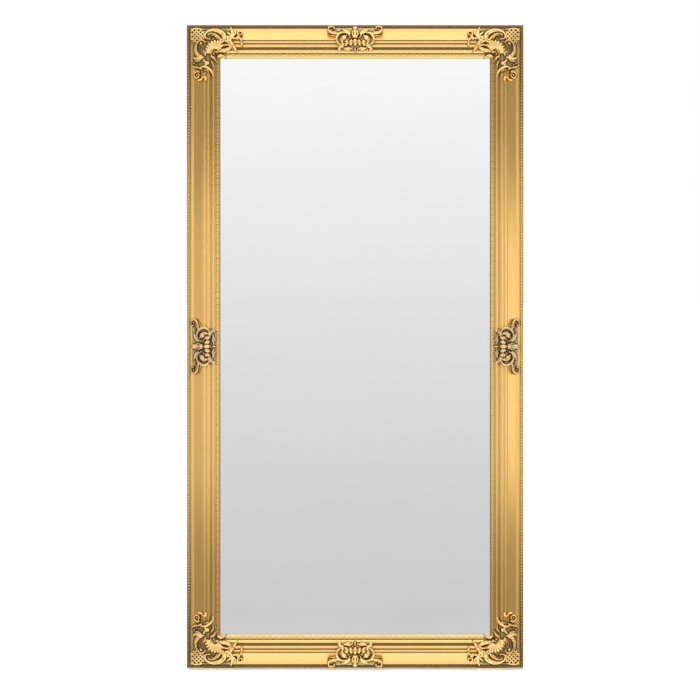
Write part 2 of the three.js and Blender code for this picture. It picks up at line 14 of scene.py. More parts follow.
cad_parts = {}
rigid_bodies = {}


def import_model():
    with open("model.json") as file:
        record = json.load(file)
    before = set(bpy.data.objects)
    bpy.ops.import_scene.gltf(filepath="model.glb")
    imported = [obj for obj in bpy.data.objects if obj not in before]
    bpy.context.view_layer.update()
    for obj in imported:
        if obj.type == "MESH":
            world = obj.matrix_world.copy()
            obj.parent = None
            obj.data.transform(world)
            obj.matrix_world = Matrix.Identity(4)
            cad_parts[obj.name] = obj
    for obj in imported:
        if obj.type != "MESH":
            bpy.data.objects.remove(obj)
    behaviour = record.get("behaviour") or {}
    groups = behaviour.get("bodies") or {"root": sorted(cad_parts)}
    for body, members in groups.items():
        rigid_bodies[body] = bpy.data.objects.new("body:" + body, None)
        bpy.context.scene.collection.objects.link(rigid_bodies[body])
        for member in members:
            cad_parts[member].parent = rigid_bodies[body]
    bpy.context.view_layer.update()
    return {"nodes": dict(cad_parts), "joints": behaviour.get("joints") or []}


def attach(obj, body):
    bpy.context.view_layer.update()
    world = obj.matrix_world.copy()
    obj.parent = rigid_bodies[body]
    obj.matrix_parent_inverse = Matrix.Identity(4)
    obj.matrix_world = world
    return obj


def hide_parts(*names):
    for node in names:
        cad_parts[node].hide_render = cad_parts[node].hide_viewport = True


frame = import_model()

MM = 0.001

# ---- Sizes, in millimetres ----
FRAME_WIDTH = 890
FRAME_HEIGHT = 1700
RAIL_WIDTH = 88
REBATE_WIDTH = 10
REBATE_DEPTH = 12
MITRE_GAP = 0.15
STILE_CREST_INSET = 6
LEAN = math.radians(8)
HINGE_HEIGHT = 1330
HINGE_BACK = 25.1
HINGE_X = 210
HINGE_LEAF_LENGTH = 64
KNUCKLE_RADIUS = 4.55
BATTEN_BACK = 20.3
LEAF_BACK = 22.6
BRACKET_BACK = 2.8
PLATE_BACK = 1.9

# ---- Places ----
joints = {joint["name"]: Vector(joint["pos_m"]) for joint in frame["joints"]}
hinge = joints["strut_fold"]
leaned = Matrix.Rotation(-LEAN, 4, "X")
mirror_place = Matrix.Translation(hinge / MM - leaned @ Vector((0, HINGE_BACK, HINGE_HEIGHT))) @ leaned
strut_place = Matrix.Translation(hinge / MM) @ Matrix.Rotation(LEAN, 4, "X")
# How each body's pieces, drawn upright, stand in the model's frame.
BODY_PLACES = {"mirror": mirror_place, "strut": strut_place, "stay_left": mirror_place,
               "stay_right": mirror_place}
HERE = Matrix.Identity(4)


def axes(*columns):
    """A placing matrix from the images of the three drawn axes and, fourth, of the origin."""
    return Matrix([list(row) for row in zip(*columns)] + [[0, 0, 0, 1]])


def member_place(turn):
    """(s along, w inward, h forward) on the bottom, left, top or right member."""
    across = FRAME_WIDTH if turn % 2 else FRAME_HEIGHT
    lying = axes((1, 0, 0), (0, 0, 1), (0, -1, 0), (0, 0, -across / 2))
    middle = Matrix.Translation((0, 0, FRAME_HEIGHT / 2))
    return middle @ Matrix.Rotation(turn * math.pi / 2, 4, "Y") @ lying


def corner_place(side_x, side_z):
    """(a inward along the rail, b inward along the stile, h forward) at one corner."""
    origin = (side_x * FRAME_WIDTH / 2, 0, FRAME_HEIGHT if side_z > 0 else 0)
    return axes((-side_x, 0, 0), (0, 0, -side_z), (0, -1, 0), origin)


MEMBERS = [("bottom", 0), ("left", 1), ("top", 2), ("right", 3)]
CORNERS = [("top_left", -1, 1), ("top_right", 1, 1), ("bottom_left", -1, -1), ("bottom_right", 1, -1)]
SIDES = [("left", -1), ("right", 1)]


# ---- Looks: procedural materials ----
class Graph:
    """A node tree; its nodes are made by short calls that give back their output."""

    def __init__(self, owner):
        owner.use_nodes = True
        self.tree = owner.node_tree

    def node(self, kind, inputs=None, **settings):
        made = self.tree.nodes.new("ShaderNode" + kind)
        for key, value in settings.items():
            setattr(made, key, value)
        for key, value in (inputs or {}).items():
            self.feed(made.inputs[key], value)
        return made

    def feed(self, socket, value):
        if isinstance(value, bpy.types.NodeSocket):
            self.tree.links.new(value, socket)
        else:
            socket.default_value = value

    def math(self, action, *values, clamp=False):
        inputs = dict(enumerate(values))
        return self.node("Math", inputs, operation=action, use_clamp=clamp).outputs[0]

    def plus(self, first, second):
        return self.math("ADD", first, second)

    def times(self, first, second):
        return self.math("MULTIPLY", first, second)

    def mix(self, share, first, second, kind="MIX"):
        inputs = {0: share, 6: first, 7: second}
        return self.node("Mix", inputs, data_type="RGBA", blend_type=kind).outputs[2]


class Look(Graph):
    """A principled material, patterned over the drawn coordinates of its pieces."""

    def __init__(self, name, **constants):
        self.material = bpy.data.materials.new(name)
        super().__init__(self.material)
        self.shader = self.tree.nodes["Principled BSDF"]
        for key, value in constants.items():
            self.shader.inputs[key.replace("_", " ")].default_value = value

    def attribute(self, name, part="Fac"):
        return self.node("Attribute", attribute_name=name).outputs[part]

    def grain(self, stretch=(1, 1, 1)):
        """The drawn coordinates, in metres, x along the piece."""
        return self.node("Mapping", {0: self.attribute("grain", "Vector"), "Scale": stretch}).outputs[0]

    def noise(self, scale, detail=3, roughness=0.5, stretch=(1, 1, 1), distortion=0):
        inputs = {"Vector": self.grain(stretch), "Scale": scale, "Detail": detail,
                  "Roughness": roughness, "Distortion": distortion}
        return self.node("TexNoise", inputs).outputs[0]

    def spread(self, value, low, high, to_low=0, to_high=1):
        inputs = dict(enumerate((value, low, high, to_low, to_high)))
        return self.node("MapRange", inputs).outputs[0]

    def coats(self, base, *layers):
        """Colours laid over a base, each as far as its share says."""
        for share, tone in layers:
            base = self.mix(share, base, tone)
        return base

    def bump(self, height, strength, distance):
        inputs = {"Height": height, "Strength": strength, "Distance": distance}
        self.feed(self.shader.inputs["Normal"], self.node("Bump", inputs).outputs[0])

    def finish(self, colour, roughness=None, metallic=None):
        for key, value in (("Base Color", colour), ("Roughness", roughness), ("Metallic", metallic)):
            if value is not None:
                self.feed(self.shader.inputs[key], value)
        return self.material


def colour(red, green, blue):
    """A colour from its screen values, 11 to 255."""
    return (*[((value / 255 + 0.055) / 1.055) ** 2.4 for value in (red, green, blue)], 1)


# Amber multiplied into the gilding as painted shade towards the stiles' ends.
AMBER = (0.46, 0.40, 0.30, 1)


def gilt_look(name, bright, warm, pale, wax_and_shade, brushed=0.5, rough=0.27):
    """Burnished gold, paler and duller towards its hollows as a painted lift of light, and darkened there
    by brown wax and painted shade.
    """
    look = Look(name)
    bright, warm, pale = [(*gold, 1) for gold in (bright, warm, pale)]
    patina = look.attribute("patina")
    streaks = look.noise(900, 4, 0.65, (0.012, 1, 1))
    fine = look.noise(1500, 3, 0.6)
    broad = look.spread(look.noise(9, 4, 0.6, (0.35, 1, 1)), 0.35, 0.65)
    # Pale, less metallic coat in the hollows: painted light that lifts them.
    duller = look.spread(patina, 0.02, 0.28)
    gold = look.coats(bright, (broad, warm), (look.spread(streaks, 0.3, 0.7, 0, brushed), warm),
                      (duller, pale))
    # Painted shade: amber deepens the gold towards the ends.
    gold = look.mix(look.attribute("glaze"), gold, AMBER, "MULTIPLY")
    # Brown wax, dirt flecks and painted shade, rubbed off where worn.
    dirt_and_shade = look.plus(patina, look.times(look.math("SUBTRACT", fine, 0.5), 0.5))
    flecks = look.spread(look.noise(330, 5, 0.7), 0.66, 0.74)
    dirt_and_shade = look.math("MAXIMUM", look.spread(dirt_and_shade, 0.22, 0.75), look.times(flecks, 0.35))
    dirt_and_shade = look.math("SUBTRACT", dirt_and_shade, look.times(look.attribute("wear"), 0.6), clamp=True)
    blur = look.plus(look.spread(streaks, 0.3, 0.7, rough, rough + 0.08), look.times(dirt_and_shade, 0.35))
    look.bump(look.plus(look.times(streaks, brushed), look.times(fine, 0.5)), 0.25, 0.0002)
    shine = look.math("SUBTRACT", look.spread(duller, 0, 1, 1, 0.6), look.times(dirt_and_shade, 0.3))
    return look.finish(look.mix(dirt_and_shade, gold, wax_and_shade), blur, shine)


def wood_look(name, light, dark, pores, roughness):
    """Straight-grained timber with growth rings, fibres and short rays or pores along x."""
    look = Look(name)
    rings = look.node("TexWave", {"Vector": look.grain((0.06, 1, 1)), "Scale": 62, "Distortion": 5,
                                  "Detail": 3, "Detail Scale": 1.6, "Detail Roughness": 0.6},
                      wave_type="RINGS", rings_direction="X").outputs[1]
    wander = look.noise(3, stretch=(1.2, 7, 7))
    fibres = look.noise(1400, 4, 0.7, (0.02, 1, 1))
    rays = look.spread(look.noise(900, 2, stretch=(0.16, 1, 1)), 0.64, 0.70)
    tone = look.plus(look.times(rings, 0.45), look.times(wander, 0.55))
    shade = look.coats(light, (look.spread(tone, 0.25, 0.8), dark),
                       (look.spread(fibres, 0.52, 0.72, 0, 0.45), dark),
                       (look.times(rays, pores), colour(96, 62, 34)))
    look.bump(fibres, 0.35, 0.0003)
    return look.finish(shade, look.spread(fibres, 0.3, 0.7, roughness - 0.07, roughness + 0.1))


def metal_look(name, bright, dull, roughness, smear):
    """Worn sheet metal: brushed along x, dulled in patches."""
    look = Look(name, Metallic=1)
    patches = look.noise(60, 5, 0.65)
    lines = look.noise(2600, stretch=(0.05, 1, 1))
    spots = look.spread(look.noise(420), 0.62, 0.72)
    tone = look.coats(bright, (look.spread(patches, 0.38, 0.7), dull),
                      (look.times(spots, smear), colour(70, 58, 40)))
    look.bump(lines, 0.15, 0.0001)
    worn = look.plus(patches, lines)
    return look.finish(tone, look.spread(worn, 0.7, 1.3, roughness - 0.06, roughness + 0.14))


def umber_look():
    """Thin brown paint over timber, rubbed through to gold and wood along its edges."""
    look = Look("umber_edge")
    cloud = look.noise(40, 5, 0.65, (0.2, 1, 1))
    fine = look.noise(1200, stretch=(0.05, 1, 1))
    base = look.coats(colour(122, 88, 46), (look.spread(cloud, 0.35, 0.7), colour(84, 58, 30)),
                      (look.spread(fine, 0.55, 0.75, 0, 0.4), colour(160, 120, 62)))
    look.bump(fine, 0.3, 0.0003)
    return look.finish(base, look.spread(cloud, 0.3, 0.7, 0.38, 0.55))


def board_look():
    """Pressed fibreboard: matted fibres and the faint weave of the press screen."""
    look = Look("fibreboard")
    flakes = look.noise(260, 6, 0.75, distortion=0.8)
    weave = [look.node("TexWave", {"Vector": look.grain(), "Scale": 200, "Distortion": 0.6},
                       bands_direction=axis).outputs[1] for axis in ("X", "Y")]
    cloud = look.spread(look.noise(7, 4), 0.35, 0.65)
    base = look.coats(colour(148, 112, 76), (cloud, colour(128, 94, 62)),
                      (look.spread(flakes, 0.5, 0.72, 0, 0.7), colour(96, 66, 42)),
                      (look.spread(flakes, 0.28, 0.42, 0.35, 0), colour(186, 150, 108)))
    look.bump(look.plus(flakes, look.times(look.times(*weave), 0.7)), 0.5, 0.0006)
    return look.finish(base, look.spread(flakes, 0.3, 0.7, 0.7, 0.9))


def silvered_look():
    """Back-silvered float glass with the faintest wiping haze."""
    look = Look("silvered_glass", Metallic=1)
    haze = look.noise(4, 5, 0.6, (0.5, 1, 1))
    tint = look.mix(look.spread(haze, 0.3, 0.7), colour(247, 247, 247), colour(245, 245, 246))
    return look.finish(tint, look.spread(haze, 0.35, 0.75, 0.004, 0.02))


def rubber_look():
    """Pale moulded rubber with dust in its grain."""
    look = Look("pale_rubber")
    grain = look.noise(1300, 4, 0.6)
    dust = look.spread(look.noise(120, 4, 0.6), 0.45, 0.8)
    look.bump(grain, 0.4, 0.0003)
    return look.finish(look.mix(dust, colour(216, 212, 204), colour(176, 170, 160)),
                       look.spread(grain, 0.3, 0.7, 0.72, 0.92))


# Gilt copies with painted light: a lemon gold on the rails' sight edge, paler grooves on the stiles, and
# a darker, greyer casting gold as painted shade on the stiles' crests.
GILT = gilt_look("gilt_moulding", (0.92, 0.60, 0.225), (0.88, 0.565, 0.20), (0.86, 0.56, 0.20),
                 colour(124, 95, 46))
STILE_PAINTED_LIGHT_GILT = gilt_look("stile_painted_light_gilt", (0.92, 0.585, 0.20), (0.88, 0.55, 0.175),
                       (0.80, 0.61, 0.29), colour(130, 99, 48))
RAIL_SIGHT_PAINTED_LIGHT_GILT = gilt_look("rail_sight_painted_light_gilt", (0.90, 0.675, 0.27), (0.84, 0.62, 0.235),
                       (0.82, 0.62, 0.235), colour(124, 97, 46))
CAST_GILT = gilt_look("antique_gilt_casting", (0.92, 0.65, 0.265), (0.85, 0.575, 0.215),
                      (0.77, 0.565, 0.25), colour(98, 70, 30), 0.15, 0.2)
STILE_CREST_PAINTED_SHADE_GILT = gilt_look("stile_crest_painted_shade_gilt", (0.78, 0.58, 0.31), (0.64, 0.46, 0.22),
                     (0.60, 0.46, 0.26), colour(86, 68, 42), 0.15, 0.2)
UMBER = umber_look()
RAW_WOOD = wood_look("raw_pine", colour(214, 180, 132), colour(186, 146, 96), pores=0.15,
                     roughness=0.62)
# Finishes of whole pieces: the slot and its looks.
BEECH = ("beech", [wood_look("oiled_beech", colour(203, 160, 112), colour(168, 122, 78),
                             pores=0.75, roughness=0.46)])
BRASS = ("brass_fittings", [metal_look("aged_brass", colour(222, 186, 104), colour(176, 138, 66),
                                       roughness=0.30, smear=0.6)])
STEEL = ("zinc_steel", [metal_look("zinc_steel", colour(206, 208, 210), colour(150, 153, 156),
                                   roughness=0.34, smear=0.35)])
SILVERED = ("silvered_glass", [silvered_look()])
BOARD = ("fibreboard", [board_look()])
RUBBER = ("rubber", [rubber_look()])


# ---- Shapes ----
# Marks read by the looks: wax with painted shade, wear, and painted shade towards the ends.
MARKS = ("patina", "wear", "glaze")


class Shape:
    """Drawn points and faces, gathered before they become one piece."""

    def __init__(self):
        self.points, self.faces, self.paints = [], [], []
        self.marks = {key: [] for key in MARKS}

    def add(self, points, faces, paint=0, **marks):
        start = sum(len(part) for part in self.points)
        self.points.append(np.asarray(points, float))
        self.faces.extend([start + k for k in face] for face in faces)
        self.paints.append(np.broadcast_to(paint, len(faces)))
        for key in MARKS:
            self.marks[key].append(np.broadcast_to(marks.get(key, 0), len(points)))


def moved(points, place):
    matrix = np.array(place)
    return points @ matrix[:3, :3].T + matrix[:3, 3]


def make_piece(shape, name, body, finish, node, crease, place=HERE, offset=0, toning=1):
    """Turns a drawn shape into one object of the model, in place of a CAD node.

    Its faces are turned out; crease is the sharpest smooth edge in degrees, offset shifts the
    grain and toning strengthens the wax and painted shade.
    """
    slot, looks = finish
    place = BODY_PLACES[body] @ place
    drawn = np.vstack(shape.points)
    faces = shape.faces
    if place.determinant() < 0:
        faces = [face[::-1] for face in faces]
    mesh = bpy.data.meshes.new(name)
    mesh.from_pydata(moved(drawn, place) * MM, [], faces)
    for look in looks:
        mesh.materials.append(look)
    mesh.polygons.foreach_set("material_index", np.concatenate(shape.paints).astype(np.int32))
    for key, values in shape.marks.items():
        strength = toning if key == "patina" else 1
        layer = mesh.attributes.new(key, "FLOAT", "POINT")
        layer.data.foreach_set("value", (np.concatenate(values) * strength).astype(np.float32))
    layer = mesh.attributes.new("grain", "FLOAT_VECTOR", "POINT")
    layer.data.foreach_set("vector", (drawn * MM + offset).astype(np.float32).ravel())
    turn_faces_out(mesh)
    mesh.polygons.foreach_set("use_smooth", np.ones(len(mesh.polygons), bool))
    mesh.set_sharp_from_angle(angle=math.radians(crease))
    mesh.update()
    made = bpy.data.objects.new(name, mesh)
    bpy.context.scene.collection.objects.link(made)
    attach(made, body)
    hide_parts(node)


def turn_faces_out(mesh):
    loose = bmesh.new()
    loose.from_mesh(mesh)
    bmesh.ops.recalc_face_normals(loose, faces=loose.faces)
    loose.to_mesh(mesh)
    loose.free()


def grid_faces(rows, columns, close=False):
    """Quads over a sheet of points; close joins the last column to the first."""
    last = columns if close else columns - 1
    row, column = np.meshgrid(np.arange(rows - 1), np.arange(last), indexing="ij")
    here, after = row * columns + column, row * columns + (column + 1) % columns
    quads = [here, here + columns, after + columns, after]
    return np.stack(quads, -1).reshape(-1, 4).tolist()


def round_faces(rows, columns):
    """Quads over closed rings of points, facing out where the rings turn from y to z along x."""
    return [face[::-1] for face in grid_faces(rows, columns, close=True)]


def ring(sides):
    return np.linspace(0, 2 * math.pi, sides, endpoint=False)


def lathe(profile, sides):
    """Turns [(along, radius), ...] about x; both ends are closed by flat caps."""
    turn = ring(sides)
    rows = [np.column_stack([np.full(sides, x), r * np.cos(turn), r * np.sin(turn)])
            for x, r in profile]
    last = (len(profile) - 1) * sides
    caps = [list(range(sides))[::-1], [last + k for k in range(sides)]]
    return np.vstack(rows), round_faces(len(profile), sides) + caps


# ---- Carved relief: a height field over (a, b) laid on the moulding ----
RELIEF_STEP = 0.7
PATH_STEPS = 40
SPIRAL_STEPS = 56
QUIRK_WIDTH = 1.1


def smooth_path(points):
    """A Catmull-Rom curve through the points."""
    pts = np.asarray(points, float)
    pts = np.vstack([2 * pts[0] - pts[1], pts, 2 * pts[-1] - pts[-2]])
    spans = len(pts) - 3
    curve = []
    for value in np.linspace(0, spans, PATH_STEPS):
        k = min(int(value), spans - 1)
        t = value - k
        p0, p1, p2, p3 = pts[k:k + 4]
        bend = 2 * p0 - 5 * p1 + 4 * p2 - p3
        twist = 3 * p1 - p0 - 3 * p2 + p3
        curve.append(0.5 * (2 * p1 + (p2 - p0) * t + bend * t ** 2 + twist * t ** 3))
    return np.array(curve)


def spiral(centre, outer, inner, start, turns):
    """An inward spiral from an angle in degrees; positive turns go from +a towards +b."""
    t = np.linspace(0, 1, SPIRAL_STEPS)
    radius = outer + (inner - outer) * t ** 0.8
    angle = math.radians(start) + 2 * math.pi * turns * t
    return np.column_stack([centre[0] + radius * np.cos(angle), centre[1] + radius * np.sin(angle)])


def along(values, t):
    """Values spread evenly over 0 to 1, read at t."""
    values = np.atleast_1d(np.asarray(values, float))
    return np.interp(t, np.linspace(0, 1, len(values)), values)


def blurred(field, sigma):
    """Gaussian blur; sigma in cells."""
    reach = int(3 * sigma + 1)
    weights = np.exp(-0.5 * (np.arange(-reach, reach + 1) / sigma) ** 2)
    for axis in (0, 1):
        padding = [(reach, reach) if k == axis else (0, 0) for k in (0, 1)]
        padded = np.pad(field, padding, mode="edge")
        size = field.shape[axis]
        parts = [weight * padded.take(range(k, k + size), axis) for k, weight in enumerate(weights)]
        field = sum(parts) / weights.sum()
    return field


def dome_crown(x):
    return np.sqrt(np.maximum(1 - x ** 2, 0))


class Relief:
    """Strokes, domes and shells carved over a moulding; lifts are heights above its soft outer form."""

    def __init__(self, a_range, b_range, inward):
        a = np.arange(*a_range, RELIEF_STEP)
        b = np.arange(*b_range, RELIEF_STEP)
        self.a, self.b = np.meshgrid(a, b, indexing="ij")
        depth = inward(self.a, self.b)
        self.ground = np.interp(depth, GROUND_W, GROUND_H)
        self.body = np.interp(depth, *zip(*SOFT_FORM))
        self.top = self.ground - 6
        self.floor = self.ground + 0.2
        self.hand = 1

    def window(self, path, reach):
        """The rows and columns of cells within reach of a path."""
        def near(lines, spots):
            return slice(*np.searchsorted(lines, (spots.min() - reach, spots.max() + reach)))
        return near(self.a[:, 0], path[:, 0]), near(self.b[0], path[:, 1])

    def measure(self, path, where):
        """Distance from a path, the share of its length reached, and the side of it."""
        a, b = self.a[where], self.b[where]
        nearest = np.full((3, *a.shape), 1e9)
        steps = len(path) - 1
        for k in range(steps):
            p, q = path[k], path[k + 1]
            d = q - p
            t = np.clip(((a - p[0]) * d[0] + (b - p[1]) * d[1]) / max(d @ d, 1e-9), 0, 1)
            da, db = a - (p[0] + t * d[0]), b - (p[1] + t * d[1])
            found = np.stack([np.hypot(da, db), (k + t) / steps, np.sign(d[0] * db - d[1] * da)])
            nearest = np.where(found[0] < nearest[0], found, nearest)
        return nearest

    def put(self, where, shape, inside, edge, moat=1):
        """Lays a shape over what is there and cuts a fine quirk round it."""
        top = self.top[where]
        floor = self.floor[where]
        cut = moat * np.exp(-(np.maximum(edge, 0) / QUIRK_WIDTH) ** 2)
        lowered = np.where((edge > 0) & (top > floor), np.maximum(top - cut, floor), top)
        self.top[where] = np.where(inside, np.maximum(lowered, shape), lowered)

    def stroke(self, path, radius, lift, kind="round", lobes=0, ribs=0):
        """A tapering rod or leaf along a path."""
        path = smooth_path(path) if len(path) < 20 else np.asarray(path, float)
        path = path * (self.hand, 1)
        where = self.window(path, float(np.max(radius)) * 1.35 + 3.5)
        dist, t, side = self.measure(path, where)
        r = along(radius, t)
        if lobes:
            r = r * (0.86 + 0.26 * np.abs(np.sin(math.pi * lobes * t + 0.3 * side)))
        x = np.clip(dist / r, 0, 1)
        crown = dome_crown(x)
        if kind == "leaf":
            blade = np.sqrt(np.maximum(1 - x ** 2.6, 0))
            crown = 0.25 * crown + 0.75 * blade - 0.30 * np.exp(-(x / 0.16) ** 2)
        if ribs:
            groove = 0.5 - 0.5 * np.cos(2 * math.pi * (x * ribs - 5 * t))
            crown = crown - 0.16 * groove * np.minimum(1, (1 - x) * 4)
        shape = self.body[where] + along(lift, t) - (0.95 * r + 1.6) * (1 - crown)
        self.put(where, shape, dist < r, dist - r)

    def leaf(self, path, radius, lift, **detail):
        self.stroke(path, radius, lift, "leaf", **detail)

    def oval(self, centre, radii, reach, turn):
        """The cells round an oval, and their places (p, q) in a frame where its radii are 1."""
        centre = np.array([centre], float) * (self.hand, 1)
        where = self.window(centre, reach)
        da, db = self.a[where] - centre[0, 0], self.b[where] - centre[0, 1]
        c, s = math.cos(math.radians(turn)), math.sin(math.radians(turn))
        return where, (da * c + db * s) / radii[0], (-da * s + db * c) / radii[1]

    def dome(self, centre, radii, lift, turn=0, depth=None, flutes=0, dimple=0):
        """A round or oval boss."""
        where, p, q = self.oval(centre, radii, max(radii) + 3.5, turn)
        x = np.hypot(p, q)
        crown = dome_crown(x) - dimple * np.exp(-(x / 0.45) ** 2)
        if flutes:
            petals = 0.5 - 0.5 * np.cos(flutes * np.arctan2(q, p))
            crown -= 0.16 * petals * np.minimum(1, x * 2) * np.minimum(1, np.maximum(1 - x, 0) * 4)
        drop = depth if depth is not None else 0.9 * min(radii) + 1.5
        self.put(where, self.body[where] + lift - drop * (1 - crown), x < 1, (x - 1) * min(radii))

    def pit(self, centre, radii, depth, turn=0):
        """Sinks an oval hollow, no lower than the casting's floor."""
        where, p, q = self.oval(centre, radii, max(radii) * 1.6, turn)
        top = self.top[where]
        sunk = np.maximum(top - depth * np.exp(-(p ** 2 + q ** 2) ** 1.6), self.floor[where])
        self.top[where] = np.where(top > self.floor[where], sunk, top)

    def shell(self, centre, start, end, inner, outer, flutes, lift, tilt):
        """A fan of flutes about a centre, from one angle to another, with a scalloped rim."""
        where = self.window(np.array([centre], float), outer * 1.15)
        da, db = self.a[where] - centre[0], self.b[where] - centre[1]
        rho = np.hypot(da, db)
        angle = np.degrees(np.arctan2(db, da))
        angle = np.where(angle < start - 90, angle + 360, angle)
        share = (angle - start) / (end - start)
        held = np.clip(share, 0, 1)
        wave = np.abs(np.sin(math.pi * flutes * held))
        rim = outer * (0.90 + 0.10 * wave) * (1 - 0.10 * (2 * held - 1) ** 2)
        x = np.clip((rho - inner) / (rim - inner), 0, 1)
        inside = (share > 0) & (share < 1) & (rho > inner) & (rho < rim)
        crown = 2.6 * np.sin(math.pi * x ** 0.8) ** 0.7
        ridge = 2.3 * (wave ** 0.7) * (0.35 + 0.65 * x)
        shape = self.body[where] + lift + crown + ridge - tilt * x ** 3 - 2.3
        edge = np.maximum(rho - rim, np.maximum(-share, share - 1) * rho * math.radians(end - start))
        self.put(where, shape, inside, np.where(rho > inner, edge, 9), 1.2)

    def inside(self, corners):
        """Which cells lie inside a polygon, by the crossings of its sides."""
        found = np.zeros(self.a.shape, bool)
        for (a0, b0), (a1, b1) in zip([corners[-1], *corners], corners):
            crosses = (b0 > self.b) != (b1 > self.b)
            found ^= crosses & (self.a < a0 + (self.b - b0) / (b1 - b0 + 1e-9) * (a1 - a0))
        return found

    def bed(self, corners, sink):
        """The casting's pitted back sheet inside an outline."""
        edge = blurred(self.inside(corners).astype(float), 1.2 / RELIEF_STEP)
        pits = blurred(np.random.default_rng(3).normal(size=self.a.shape), 1.1 / RELIEF_STEP)
        pits = np.clip(pits / pits.std(), -1.5, 1.5) * 0.55
        sheet = np.maximum(self.body - sink, self.ground + 0.8) + pits
        self.floor = np.where(edge > 0.5, sheet - 0.4, self.ground + 0.2)
        rounded = self.ground - 3 + (sheet - self.ground + 3) * np.clip(edge * 2, 0, 1) ** 0.5
        self.top = np.where(edge > 0.05, np.maximum(self.top, rounded), self.top)

    def trellis(self, corners, pitch, strap, lift, depth):
        """Crossed diagonal straps inside a polygon."""
        height = np.zeros(self.a.shape)
        for direction in (1, -1):
            across = (self.a + direction * self.b) / math.sqrt(2)
            run = (self.a - direction * self.b) / math.sqrt(2)
            phase = np.abs((across / pitch + 0.5) % 1 - 0.5) * pitch
            woven = 0.35 * np.cos(math.pi * run / pitch)
            strip = depth * dome_crown(np.minimum(phase / strap, 1)) + woven
            height = np.maximum(height, np.where(phase < strap, strip, 0))
        raised = np.maximum(self.top, self.body + lift - depth + height)
        self.top = np.where(self.inside(corners), raised, self.top)

    def cast(self):
        """The carved field as a closed shape: its top, a floor inside the moulding and a rim."""
        top = blurred(np.maximum(self.top, self.ground - 0.8), 0.6)
        floor = np.minimum(self.ground, top) - 1
        kept = blurred((self.top > self.ground + 0.1).astype(float), 1) > 0.02
        # Wax in the cavities and painted shade, darkest where the top sinks to the bed.
        hollow = np.clip((blurred(top, 2.1 / RELIEF_STEP) - top) / 2, 0, 1)
        hollow = np.maximum(hollow, 0.8 * np.clip(1 - (top - self.floor) / 1.2, 0, 1))
        rise = np.clip((top - blurred(top, 1.5 / RELIEF_STEP)) / 1.2, 0, 1)
        cells = kept[:-1, :-1] & kept[1:, :-1] & kept[1:, 1:] & kept[:-1, 1:]
        count = kept.size
        number = np.arange(count).reshape(kept.shape)
        around = [number[:-1, :-1], number[1:, :-1], number[1:, 1:], number[:-1, 1:]]
        quads = np.stack([corner[cells] for corner in around], -1)
        edges = np.vstack([quads[:, [k, (k + 1) % 4]] for k in range(4)])
        first, second = edges[~np.isin(edges @ (count, 1), edges @ (1, count))].T
        walls = np.stack([second, first, first + count, second + count], -1)
        points = [np.column_stack([self.a.ravel(), self.b.ravel(), h.ravel()]) for h in (top, floor)]
        faces = np.vstack([quads, quads[:, ::-1] + count, walls])
        used, renumbered = np.unique(faces, return_inverse=True)
        patina, wear = [np.append(field, np.zeros(count))[used] for field in (hollow, rise)]
        shape = Shape()
        shape.add(np.vstack(points)[used], renumbered.reshape(faces.shape).tolist(),
                  patina=patina, wear=wear)
        return shape


# ---- Moulding section: (w, h), w inward from the outer edge, h forward of the back plane ----
GOLD, EDGE, TIMBER, SIGHT = 0, 1, 2, 3
REED_FOOT, REED_STEPS = 0.5, 14
BEAD_SIDES = 12
BAND_EDGE = 9.7
LIP_EDGE = 86
PANEL = (18, 41.5)
PANEL_END_SHADE = 0.3
OUTER_BEAD = {"middle": 6, "base": 14, "pitch": 7.63, "paint": GOLD}
SIGHT_BEAD = {"middle": 81.6, "base": 25.2, "pitch": 17.6, "paint": SIGHT}
# The form that the castings' lifts are measured from.
SOFT_FORM = [(0, 22), (8, 23.5), (16, 25), (26, 29.5), (36, 35), (44, 37.5), (60, 38), (68, 36),
             (76, 34), (84, 29.5), (88, 27)]


class Section:
    """Points round a rail's section: (w, h, wax and painted shade left there, paint of the face that
    leads to it).
    """

    def __init__(self):
        self.rows = [(0, 0, 0, GOLD)]

    def line(self, paint, *points):
        self.rows += [(*point, paint) for point in points]

    def reed(self, middle, base, half_width, rise, wax_and_shade_reach, paint=GOLD):
        """A reed with wax and painted shade left against its feet, as far up each as its reach says."""
        reach = half_width / math.cos(REED_FOOT)
        height = rise / (1 - math.sin(REED_FOOT))
        for angle in np.linspace(math.pi - REED_FOOT, REED_FOOT, REED_STEPS + 1):
            across = reach * math.cos(angle)
            wax_and_shade = max(1 - (half_width + across) / wax_and_shade_reach[0], 1 - (half_width - across) / wax_and_shade_reach[1], 0)
            up = math.sin(angle) - math.sin(REED_FOOT)
            self.line(paint, (middle + across, base + height * up, 0.85 * min(1, 1.6 * wax_and_shade)))

    def sweep(self, control, end, steps):
        """A quadratic curve from the last point."""
        start = self.rows[-1][:2]
        for t in np.linspace(0, 1, steps + 1)[1:]:
            share = ((1 - t) ** 2, 2 * t * (1 - t), t * t)
            spot = [sum(k * p[axis] for k, p in zip(share, (start, control, end))) for axis in (0, 1)]
            self.line(GOLD, (*spot, 0))


